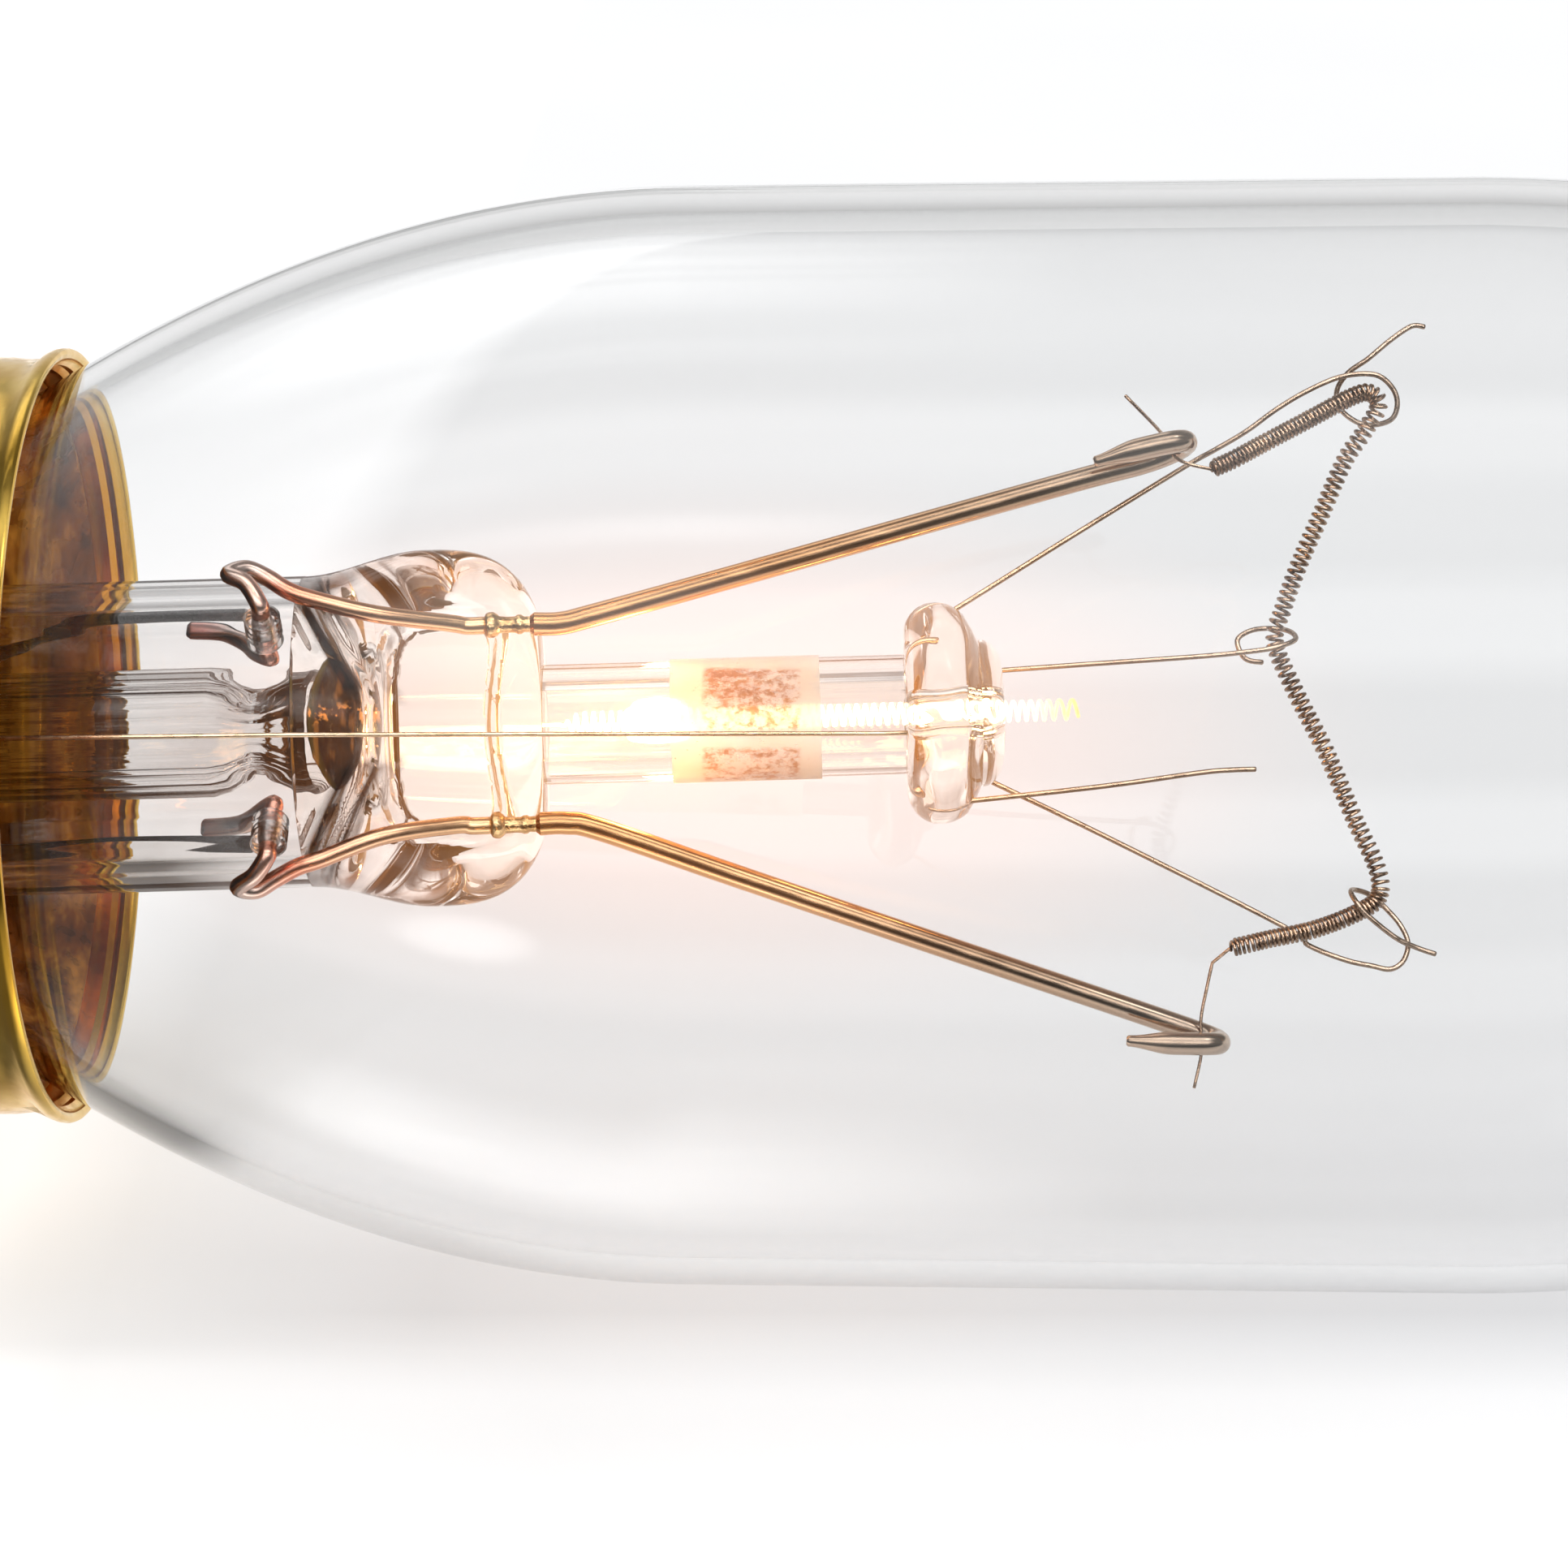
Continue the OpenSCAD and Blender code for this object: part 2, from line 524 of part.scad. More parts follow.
module press() {
    sides = 32;
    floor_t = exhaust_d / 2 + 0.35;
    floor_w = exhaust_d / 2 + 0.7;
    cavity = [
        for (s = [1 : -0.25 : 0])
            let (half_t = blend(flare_bore, floor_t, ease(s)), half_w = blend(flare_bore, floor_w, s * s))
            oval(blend(press_start, floor_x, s), half_t, half_w, sides)
    ];
    outside = [
        for (t = [0, 0.1, 0.2, 0.3, 0.4, 0.5, 0.6, 0.7, 0.78, 0.85, 0.9, 0.94, 0.97, 0.99, 1])
            oval(blend(press_start, press_end, t), press_half_t(t), press_half_w(t), sides)
    ];
    tube_bore = exhaust_d / 2 - exhaust_wall;
    color([0.88, 0.88, 0.86, 0.45]) stem_frame() difference() {
        skin(concat(cavity, outside));
        rod_between([floor_x - 0.2, 0, 0], [exhaust_hole_x + 0.45, 0, 0], tube_bore);
        rod_between([exhaust_hole_x, 0, 0], [exhaust_hole_x, -flare_d, 0], exhaust_hole_r);
    }
}

module arbor_tube() {
    r = arbor_d / 2;
    color([0.9, 0.88, 0.84, 0.4]) stem_frame() turned([
        [r - arbor_wall, press_end + seal_gap], [r, press_end + seal_gap],
        [r, button_x - seal_gap], [r - arbor_wall, button_x - seal_gap]
    ]);
}

module arbor_band() {
    r = arbor_d / 2 + seal_gap;
    from = press_end + 0.35 * arbor_len;
    color([0.93, 0.84, 0.66]) stem_frame() turned([
        [r, from], [r + band_t, from], [r + band_t, from + band_len], [r, from + band_len]
    ]);
}

module button() {
    bore = axial_od / 2 + coil_gap;
    lobe = 0.36 * button_t;
    lobe_r = button_d / 2 - lobe;
    bulge = 0.24 * button_t;
    bulge_x = head_x - bulge;
    routes = [support_upper_route, support_middle_route, support_lower_route, support_spare_route];
    color([0.9, 0.87, 0.84, 0.45]) stem_frame() difference() {
        turned(concat(
            [[bore, button_x]],
            [for (a = [-90 : 15 : 45]) [lobe_r + lobe * cos(a), button_x + lobe * (1 + sin(a))]],
            [[lobe_r + 0.25, button_x + 0.7 * button_t]],
            [for (a = [0 : 18 : 90]) [lobe_r - 0.75 + 0.7 * cos(a), bulge_x + bulge * sin(a)]],
            [[bore, head_x]]
        ));
        for (route = routes) {
            root = shifted(route, head_x);
            rod_between(root[0], root[1] + 2 * (root[1] - root[0]), support_d / 2 + seal_gap);
        }
    }
}

// Wires
module outer_lead(route) {
    color([0.16, 0.15, 0.16]) stem_frame() wire(spline(route, 3), outer_lead_d);
}

module outer_lead_upper() {
    in_base = shifted(outer_upper_base, -skirt_len);
    outer_lead(concat(in_base, in_tube(outer_upper_tube, 0), in_tube(outer_upper_end, bead_x)));
}

module outer_lead_lower() {
    // the lamp's own axis, seen from the tilted stem
    in_plug = [
        for (x = [contact_x + 0.55, shell_end_x + 0.5, shell_end_x + 2.3]) [x, 0, (tilt_x - x) * tan(stem_tilt)]
    ];
    in_base = shifted(outer_lower_base, exhaust_tip_x);
    along = concat(in_tube(outer_lower_tube, 0), in_tube(outer_lower_end, bead_x));
    outer_lead(concat(in_plug, in_base, mirrored(along, -1)));
}

module seal_wire(stub, hairpin, along, side) {
    through = [for (r = [bead_from - 0.4, bead_from - 0.05, bead_to + 0.05, bead_to + 0.3]) bead_point(r, 1)];
    route = concat(
        in_tube(stub, bead_x), through, round_tube(hairpin, bead_x), on_press(along),
        [[weld_x - 0.4, weld_y, weld_z], [weld_x - seal_gap, weld_y, weld_z]]
    );
    color([0.72, 0.42, 0.3]) stem_frame() wire(spline(mirrored(route, side), 3), seal_wire_d);
}

module seal_wire_upper() {
    seal_wire(seal_upper_stub, seal_upper_hairpin, seal_upper_press, 1);
}

module seal_wire_lower() {
    seal_wire(seal_lower_stub, seal_lower_hairpin, seal_lower_press, -1);
}

module weld_joint(side) {
    edge = weld_knot - 0.08;
    sleeve = seal_wire_d / 2 - 0.02;
    collar = sleeve + 0.04;
    color([0.7, 0.5, 0.32]) stem_frame() translate([weld_x, weld_y, side * weld_z]) turned([
        [0, 0], [edge, 0], [weld_knot, 0.08], [weld_knot, 0.24], [edge, 0.32], [sleeve, 0.36],
        [sleeve, 0.7], [collar, 0.75], [collar, 0.82], [sleeve, 0.87], [sleeve, weld_len], [0, weld_len]
    ]);
}

module weld_joint_upper() {
    weld_joint(1);
}

module weld_joint_lower() {
    weld_joint(-1);
}

module inner_lead(route, fold, side) {
    far = shifted(route, head_x);
    turn_x = far[4][0];
    near = [
        [lead_start + seal_gap, weld_y, side * weld_z], [lead_start + 0.6, weld_y + 0.03, side * weld_z],
        [lead_start + 1.35, weld_y + 0.18, side * (weld_z + 0.17)]
    ];
    bend = [
        [turn_x + 0.3, clamp_y, fold[0]], [turn_x, 2 * clamp_y, fold[1]],
        [turn_x - 0.9, 2 * clamp_y, fold[2]], [turn_x - 1.8, 2 * clamp_y, fold[3]]
    ];
    path = spline(concat(near, far, bend), 3);
    color([0.72, 0.62, 0.48]) stem_frame() wire(path, inner_lead_d, aside = [0, 0, 1]);
}

module inner_lead_upper() {
    inner_lead(lead_upper_route, lead_upper_fold, 1);
}

module inner_lead_lower() {
    inner_lead(lead_lower_route, lead_lower_fold, -1);
}

module support(route) {
    points = shifted(route, head_x);
    free = [for (i = [1 : len(points) - 1]) points[i]];
    color([0.55, 0.45, 0.36]) stem_frame() wire(concat([points[0]], spline(free, 2)), support_d, 6);
}

module support_upper() {
    support(support_upper_route);
}

module support_middle() {
    support(support_middle_route);
}

module support_lower() {
    support(support_lower_route);
}

module support_spare() {
    support(support_spare_route);
}

module tie_wire() {
    front = flare_d / 2 + tie_d / 2 + seat_gap;
    path = [
        [tie_start[0], -front, tie_start[1]], [flare_len, -front, -0.12],
        [button_x - 0.6, tie_end[0], tie_end[1]], [button_x - seal_gap, tie_end[0], tie_end[1]]
    ];
    color([0.66, 0.52, 0.4]) stem_frame() wire(path, tie_d, 6, [0, 0, 1]);
}

module axial_coil() {
    axis = [[press_end + 0.35, 0, 0], [head_x + axial_out, 0, 0]];
    no_calm = -lamp_len;
    path = concat([[press_end + seal_gap, 0, 0]], coil(axis, axial_od, axial_wire_d, axial_pitch, no_calm, 0));
    reach = half_curl(axial_od, axial_wire_d, axial_pitch);
    echo("axial coil, least gap to itself", least_gap(path, axial_wire_d, reach));
    color([0.95, 0.72, 0.35]) stem_frame() wire(path, axial_wire_d, 6);
}

module filament() {
    clamp = [for (p = filament_tail_in) [head_x + p[0], clamp_y, p[1]]];
    out = [for (p = filament_tail_out) [head_x + p[0], clamp_y, p[1]]];
    axis = spline(shifted(filament_axis, head_x), 4);
    curls = coil(axis, filament_od, filament_wire_d, filament_pitch, filament_corner, corner_calm);
    path = concat(clamp, curls, out);
    reach = half_curl(filament_od, filament_wire_d, filament_pitch);
    echo("filament, least gap to itself", least_gap(path, filament_wire_d, reach));
    color([0.42, 0.32, 0.26]) stem_frame() wire(path, filament_wire_d, 6);
}

envelope();
base_shell();
base_insulator();
centre_contact();
centre_solder();
side_solder();
basing_cement();
flare_tube();
exhaust_tube();
press();
arbor_tube();
arbor_band();
button();
lead_bead_upper();
lead_bead_lower();
outer_lead_upper();
outer_lead_lower();
seal_wire_upper();
seal_wire_lower();
weld_joint_upper();
weld_joint_lower();
inner_lead_upper();
inner_lead_lower();
support_upper();
support_middle();
support_lower();
support_spare();
tie_wire();
axial_coil();
filament();
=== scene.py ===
import json
import math
import random
from bisect import bisect_right

import bmesh
import bpy
from mathutils import Matrix, Vector, noise

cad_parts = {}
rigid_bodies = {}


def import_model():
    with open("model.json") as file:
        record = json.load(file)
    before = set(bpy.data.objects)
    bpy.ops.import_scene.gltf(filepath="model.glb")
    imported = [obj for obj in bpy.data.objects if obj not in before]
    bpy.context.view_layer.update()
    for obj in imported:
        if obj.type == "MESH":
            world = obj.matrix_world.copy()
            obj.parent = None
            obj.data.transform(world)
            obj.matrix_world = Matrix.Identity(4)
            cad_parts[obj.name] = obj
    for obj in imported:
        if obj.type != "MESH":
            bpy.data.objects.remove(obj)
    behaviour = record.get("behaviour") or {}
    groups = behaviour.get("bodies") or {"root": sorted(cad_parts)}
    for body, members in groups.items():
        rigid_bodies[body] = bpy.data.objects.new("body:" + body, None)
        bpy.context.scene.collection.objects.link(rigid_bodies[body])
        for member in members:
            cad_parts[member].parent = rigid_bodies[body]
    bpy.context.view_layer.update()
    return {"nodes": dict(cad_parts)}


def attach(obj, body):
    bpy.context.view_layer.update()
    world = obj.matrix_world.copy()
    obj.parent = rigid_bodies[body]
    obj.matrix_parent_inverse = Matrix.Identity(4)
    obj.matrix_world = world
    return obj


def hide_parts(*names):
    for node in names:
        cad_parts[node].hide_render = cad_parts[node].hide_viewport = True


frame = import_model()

MM = 0.001

# Sizes of the lamp in millimetres. x counts from the rim plane of the base towards the glass tip
RIM_X = -15.2
AXIS_Z = 12.7
LAMP_LEN = 71.4
BASE_H = 20.5
GLASS_D = 25.4
BODY_D = 25.0
WALL = 0.6
SHOULDER_LEN = 14.5
DOME_LEN = 19.0
DOME_POWER = 2.3
THROAT_D = 16.26
NECK_D = 14.0
NECK_LEN = 6.5
RIM_D = 18.0
SKIRT_D = 17.3
SKIRT_LEN = 5.3
SHEET = 0.25
THREAD_D = 16.6
THREAD_DEPTH = 0.65
THREAD_PITCH = 2.822
THREAD_LEN = 10.2
CONTACT_R = 2.8
FLARE_R = 3.57
FLARE_WALL = 0.55
FLARE_LEN = 5.6
EXHAUST_R = 1.45
EXHAUST_WALL = 0.28
MOUTH_X = 5.5
PRESS_W = 8.2
PRESS_T = 3.0
PRESS_START = 5.61
PRESS_END = 10.95
HOLLOW_X = 7.35
PINCH_START, PINCH_END = 7.45, 9.75
PINCH_HALF_W, PINCH_HALF_T = 2.45, 0.95
ARBOR_R = 1.375
ARBOR_WALL = 0.55
BAND_LEN, BAND_T = 3.4, 0.04
BUTTON_X = 19.15
BUTTON_R = 2.55
BUTTON_T = 2.25
HEAD_X = 21.4
BEAD_X = 4.95
BEAD_ANGLE = math.radians(42)
BEAD_FROM = 2.745
BEAD_TO = 3.845
WELD_X = 9.75
WELD_LEN = 1.1
WELD_Z = 2.25
WELD_KNOT = 0.3
OUTER_D = 0.3
SEAL_D = 0.4
LEAD_D = 0.53
SUPPORT_D = 0.125
TIE_R = 0.055
AXIAL_OD, AXIAL_D = 0.53, 0.09
FILAMENT_OD, FILAMENT_D = 0.44, 0.08
PLAY = 0.03
SIDES = (("upper", 1), ("lower", -1))
TIP_X = LAMP_LEN - BASE_H
DOME_X = TIP_X - DOME_LEN
BLEND_LEN = (THROAT_D - NECK_D) * SHOULDER_LEN / (BODY_D - THROAT_D)
FLARE_BORE = FLARE_R - FLARE_WALL
THREAD_ROOT = THREAD_D / 2 - THREAD_DEPTH
SHELL_END = -SKIRT_LEN - THREAD_LEN
CONTACT_X = -BASE_H + 0.6

# How far the bulb stays inside its CAD solid, whose facets cut its circles a little short
INSIDE = 0.01

# What the glass and the metal mirror: degrees from the camera's side over the top, and brightness
STUDIO_WALLS = [
    (0, 0.05), (28, 0.08), (36, 1.2), (47, 1.2), (54, 0.1), (68, 0.12), (76, 0.9), (86, 0.9), (93, 0.15),
    (116, 0.15), (150, 0.4), (166, 0.7), (180, 0.8),
]
SOFT_BOX = [
    (102, 0.0), (104, 0.6), (107, 0.1), (112, 0.0), (121, 1.1), (127, 1.1), (129, 0.5), (131, 1.1), (136, 1.0),
    (139, 0.2), (142, 0.7), (145, 0.1), (150, 0.0),
]
SOFT_BOX_START = (-0.62, -0.4)
SOFT_BOX_END = (-0.05, 0.07)
OVERHEAD_WAY = (0.37, -0.256, 0.893)

# The stem leans a little in the bulb, and the lamp lies turned about its own axis
STEM_TURN = math.radians(20)
STEM_TILT = math.radians(1.7)
TILT_X = 2.3
LAMP = Matrix.Translation((RIM_X, 0, AXIS_Z))
STEM = (
    LAMP
    @ Matrix.Rotation(-STEM_TURN, 4, "X")
    @ Matrix.Translation((TILT_X, 0, 0))
    @ Matrix.Rotation(-STEM_TILT, 4, "Y")
    @ Matrix.Translation((-TILT_X, 0, 0))
)
GLOW = (STEM @ Vector((13.5, 0, 0))) * MM


# Small maths
def clamp(t):
    return min(1.0, max(0.0, t))


def ease(t):
    t = clamp(t)
    return t * t * (3 - 2 * t)


def mix(a, b, t):
    return a + (b - a) * t


def bump(t):
    """1 at 0, falling smoothly to 0 at -1 and 1."""
    return ease(1 - abs(t))


def arc(start, end, steps):
    return [math.radians(mix(start, end, i / steps)) for i in range(steps + 1)]


def spline(points, steps):
    """The smooth curve through points, with steps pieces between two of them."""
    p = [Vector(q) for q in points]
    out = []
    for i in range(len(p) - 1):
        a, b, c, d = p[max(i - 1, 0)], p[i], p[i + 1], p[min(i + 2, len(p) - 1)]
        for k in range(steps):
            t = k / steps
            out.append(
                0.5
                * (2 * b + (c - a) * t + (2 * a - 5 * b + 4 * c - d) * t**2 + (3 * b - a - 3 * c + d) * t**3)
            )
    return out + [p[-1]]


def shifted(route, x):
    return [(p[0] + x, p[1], p[2]) for p in route]


def mirrored(route, side):
    return [(p[0], p[1], side * p[2]) for p in route]


# Meshes
def linked(name, data):
    """A new object in the scene."""
    ob = bpy.data.objects.new(name, data)
    bpy.context.collection.objects.link(ob)
    return ob


def piece(name, verts, faces, place, material, slot, nodes, sharp=40):
    """One object of the lamp, in metres in the shared frame, that stands for the CAD nodes named."""
    mesh = bpy.data.meshes.new(name)
    mesh.from_pydata([(place @ Vector(v)) * MM for v in verts], [], faces)
    bm = bmesh.new()
    bm.from_mesh(mesh)
    bmesh.ops.recalc_face_normals(bm, faces=bm.faces)
    bm.to_mesh(mesh)
    bm.free()
    for polygon in mesh.polygons:
        polygon.use_smooth = True
    mesh.set_sharp_from_angle(angle=math.radians(sharp))
    mesh.materials.append(material)
    ob = linked(name, mesh)
    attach(ob, "root")
    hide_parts(*nodes)


def grid(rows, closed):
    """Faces between rows of vertices, where a row may be a single pole."""
    faces = []
    pairs = list(zip(rows, rows[1:])) + ([(rows[-1], rows[0])] if closed else [])
    for a, b in pairs:
        n = max(len(a), len(b))
        if n == 1:
            continue
        for k in range(n):
            j = (k + 1) % n
            if len(a) == 1:
                faces.append((a[0], b[j], b[k]))
            elif len(b) == 1:
                faces.append((a[k], a[j], b[0]))
            else:
                faces.append((a[k], a[j], b[j], b[k]))
    return faces


def capped(rows):
    return grid(rows, False) + [tuple(rows[0]), tuple(reversed(rows[-1]))]


def from_x(x, outline):
    """An outline of (x, r) points moved along by x."""
    return [(x + at, r) for at, r in outline]


def lathe(outline, sides=96, closed=True, shape=None):
    """A turned shape. outline is (x, r) points; shape may move a point, given x, r and the angle."""
    verts, rows = [], []
    for x, r in outline:
        if r < 1e-6:
            rows.append([len(verts)])
            verts.append((x, 0, 0))
            continue
        rows.append(list(range(len(verts), len(verts) + sides)))
        for k in range(sides):
            a = 2 * math.pi * k / sides
            px, pr = shape(x, r, a) if shape else (x, r)
            verts.append((px, pr * math.cos(a), pr * math.sin(a)))
    return verts, grid(rows, closed)


def lumpy(amount, scale, seed):
    """A shape for lathe whose skin is a little uneven."""

    def shape(x, r, angle):
        p = Vector((x, r * math.cos(angle), r * math.sin(angle))) * scale + Vector((seed, 0, 0))
        return x, r + amount * noise.noise(p) * clamp(r / 0.6)

    return shape


def drawn(amount, seed, lump=0.0):
    """A shape for lathe like drawn glass tube, whose skin has fine ridges along it."""

    def shape(x, r, angle):
        c, s = math.cos(angle), math.sin(angle)
        ridge = noise.noise(Vector((3 * c, 3 * s, seed)))
        ridge += 0.6 * noise.noise(Vector((9 * c, 9 * s, seed + 0.02 * x)))
        swell = noise.noise(Vector((0.8 * x, r * c, r * s + seed)))
        return x, r + (amount * ridge + lump * swell) * clamp(r / 0.5)

    return shape


def frames(points):
    """Tangent and two side vectors at each point, with no sudden twist."""
    out = []
    u = None
    last = len(points) - 1
    for i in range(len(points)):
        t = (points[min(i + 1, last)] - points[max(i - 1, 0)]).normalized()
        if u is None:
            u = t.cross(Vector((0, 0, 1)) if abs(t.z) < 0.9 else Vector((0, 1, 0))).normalized()
        else:
            u = (u - t * u.dot(t)).normalized()
        out.append((t, u, t.cross(u)))
    return out


# How a wire's cut end is rounded: its length and its radius, as parts of the wire's radius
CUT_LEN, CUT_R = 0.35, 0.7


def tube(points, radius, sides):
    """A wire with rounded ends. radius may be one number or a list with one for each point."""
    pts = [Vector(p) for p in points]
    radii = radius if isinstance(radius, list) else [radius] * len(pts)
    head = (pts[0] - pts[1]).normalized()
    tail = (pts[-1] - pts[-2]).normalized()
    pts = [pts[0] + head * radii[0] * CUT_LEN] + pts + [pts[-1] + tail * radii[-1] * CUT_LEN]
    radii = [radii[0] * CUT_R] + radii + [radii[-1] * CUT_R]
    verts, rows = [], []
    for c, r, (_, u, v) in zip(pts, radii, frames(pts)):
        rows.append(list(range(len(verts), len(verts) + sides)))
        for k in range(sides):
            a = 2 * math.pi * k / sides
            verts.append(tuple(c + u * (r * math.cos(a)) + v * (r * math.sin(a))))
    return verts, capped(rows)


def lengths(points):
    out = [0.0]
    for a, b in zip(points, points[1:]):
        out.append(out[-1] + (b - a).length)
    return out


def before(acc, s):
    """The number of the piece of a line that holds the distance s."""
    return min(max(bisect_right(acc, s) - 1, 0), len(acc) - 2)


def along(points, acc, s):
    """The point at the distance s."""
    s = min(max(s, 0.0), acc[-1])
    i = before(acc, s)
    return points[i].lerp(points[i + 1], (s - acc[i]) / max(1e-9, acc[i + 1] - acc[i]))


def coil(axis, od, wire_d, pitch_at, steps, wander, ends):
    """Points along a wound wire. pitch_at gives the pitch at a distance along the axis, and ends the lengths over
    which the winding grows from the axis and shrinks back to it."""
    acc = lengths(axis)
    total = acc[-1]
    ref = frames(axis)
    rng = random.Random(4)
    out = []
    s, turn, wobble, goal = 0.0, 0.0, 0.0, 0.0
    while s < total:
        _, u, v = ref[before(acc, s)]
        if len(out) % steps == 0:
            goal = rng.uniform(-wander, wander)
        wobble += (goal - wobble) / steps
        r = (od - wire_d) / 2
        for end, left in zip(ends, (s, total - s)):
            if end:
                r *= 0.15 + 0.85 * ease(left / end)
        out.append(along(axis, acc, s + wobble) + r * (math.cos(turn) * u + math.sin(turn) * v))
        turn += 2 * math.pi / steps
        s += pitch_at(s) / steps
    return out


# Materials
def greys(stops):
    return [(at, (v, v, v)) for at, v in stops]


class Tree:
    """The nodes of a material, or of the world."""

    def __init__(self, name, world=False):
        self.material = (bpy.data.worlds if world else bpy.data.materials).new(name)
        self.material.use_nodes = True
        self.nt = self.material.node_tree
        self.nt.nodes.clear()
        self.out = self.add("OutputWorld" if world else "OutputMaterial")
        self.place = self.add("TexCoord").outputs["Generated" if world else "Object"]
        if world:
            bpy.context.scene.world = self.material

    def add(self, kind, settings=None, **values):
        node = self.nt.nodes.new("ShaderNode" + kind)
        for key, value in (settings or {}).items():
            setattr(node, key, value)
        for key, value in values.items():
            self.put(node, key.replace("_", " "), value)
        return node

    def put(self, node, key, value):
        """Links value to an input, or sets the input to it. key is the input's name or number."""
        if isinstance(value, bpy.types.NodeSocket):
            self.nt.links.new(value, node.inputs[key])
        else:
            node.inputs[key].default_value = value

    def principled(self, **values):
        return self.add("BsdfPrincipled", **values)

    def path(self):
        return self.add("LightPath").outputs

    def noise(self, scale, stretch=(1, 1, 1), detail=3.0, rough=0.5):
        """Noise with scale patches to a millimetre."""
        mapping = self.add("Mapping", Vector=self.place, Scale=tuple(1000 * scale * s for s in stretch))
        node = self.add("TexNoise", Vector=mapping.outputs[0], Scale=1.0, Detail=detail, Roughness=rough)
        return node.outputs[0]

    def ramp(self, source, stops):
        node = self.add("ValToRGB", Fac=source)
        ramp = node.color_ramp
        while len(ramp.elements) < len(stops):
            ramp.elements.new(0.5)
        for element, (at, colour) in zip(ramp.elements, stops):
            element.position = at
            element.color = (*colour, 1)
        return node.outputs[0]

    def ranged(self, source, low, high, to_low, to_high):
        node = self.add("MapRange", Value=source)
        for key, value in zip(("From Min", "From Max", "To Min", "To Max"), (low, high, to_low, to_high)):
            node.inputs[key].default_value = value
        return node.outputs[0]

    def varied(self, source, low, high):
        """From low to high over most of a noise's range."""
        return self.ranged(source, 0.3, 0.7, low, high)

    def axis(self, which):
        node = self.add("SeparateXYZ", Vector=self.place)
        return node.outputs["XYZ".index(which)]

    def along_stem(self, which):
        """A coordinate of the glass stem's own frame, in millimetres."""
        row = STEM.inverted()["XYZ".index(which)]
        return self.plus(self.vector("DOT_PRODUCT", self.place, tuple(1000 * v for v in row[:3])), row[3])

    def vector(self, operation, a, b=None):
        """The result of a sum over vectors: a number, or for MULTIPLY a vector."""
        node = self.add("VectorMath", {"operation": operation})
        self.put(node, 0, a)
        if b:
            self.put(node, 1, b)
        return node.outputs["Vector" if operation == "MULTIPLY" else "Value"]

    def blend(self, fac, a, b, mode="MIX"):
        node = self.add("Mix", {"data_type": "RGBA", "blend_type": mode})
        self.put(node, 0, fac)
        for key, value in ((6, a), (7, b)):
            self.put(node, key, value if isinstance(value, bpy.types.NodeSocket) else (*value, 1))
        return node.outputs[2]

    def mixed(self, fac, a, b):
        """The shaders a and b mixed by fac."""
        node = self.add("MixShader")
        for key, value in enumerate((fac, a.outputs[0], b.outputs[0])):
            self.put(node, key, value)
        return node

    def maths(self, operation, value, *others):
        """value taken with each of the others in turn."""
        for other in others or (0.0,):
            node = self.add("Math", {"operation": operation})
            self.put(node, 0, value)
            self.put(node, 1, other)
            value = node.outputs[0]
        return value

    def times(self, *values):
        return self.maths("MULTIPLY", *values)

    def plus(self, *values):
        return self.maths("ADD", *values)

    def bumped(self, height, strength, depth):
        """A normal from height; depth in millimetres."""
        return self.add("Bump", Height=height, Strength=strength, Distance=depth * MM).outputs[0]

    def finish(self, shader, socket="Surface"):
        self.nt.links.new(shader.outputs[0], self.out.inputs[socket])
        return self.material


def metal(name, colours, scale, rough, stretch=(1, 1, 1), depth=0.01, along_x=None, metallic=1.0, axis_side=None):
    """Metal whose colour and roughness vary by noise; along_x is (x from, x to, stops) in millimetres, and
    axis_side is (radius, radius, colour) given to what lies nearer to the lamp's axis."""
    t = Tree(name)
    patches = t.noise(scale, stretch)
    fine = t.noise(scale * 6, stretch, detail=2.0)
    colour = t.ramp(patches, [(0.35, colours[0]), (0.65, colours[1])])
    if along_x:
        start, end, stops = along_x
        place = t.ranged(t.axis("X"), (start + RIM_X) * MM, (end + RIM_X) * MM, 0, 1)
        place = t.plus(place, t.varied(patches, -0.03, 0.03))
        colour = t.blend(1.0, colour, t.ramp(place, stops), "MULTIPLY")
    if axis_side:
        inner, outer, axis_side_colour = axis_side
        away = t.vector("DISTANCE", t.vector("MULTIPLY", t.place, (0, 1, 1)), (0, 0, AXIS_Z * MM))
        colour = t.blend(t.ranged(away, inner * MM, outer * MM, 1, 0), colour, axis_side_colour)
    return t.finish(t.principled(
        Base_Color=colour,
        Roughness=t.varied(fine, *rough),
        Metallic=metallic,
        Normal=t.bumped(fine, 0.5, depth),
    ))


def through(t, body, shade):
    """Lets lamps and soft light pass through body, at shade of their strength."""
    clear = t.add("BsdfTransparent", Color=(*shade, 1))
    path = t.path()
    return t.finish(t.mixed(t.maths("MAXIMUM", path["Is Shadow Ray"], path["Is Diffuse Ray"]), body, clear))


# Painted shade in the press's creases: dark brown ribbons and corner wedges
RIBBONS_PER_MM = 8.5
RIBBON_SHADE = (0.035, 0.011, 0.003)
WEDGE_SHADE = (0.06, 0.02, 0.006)


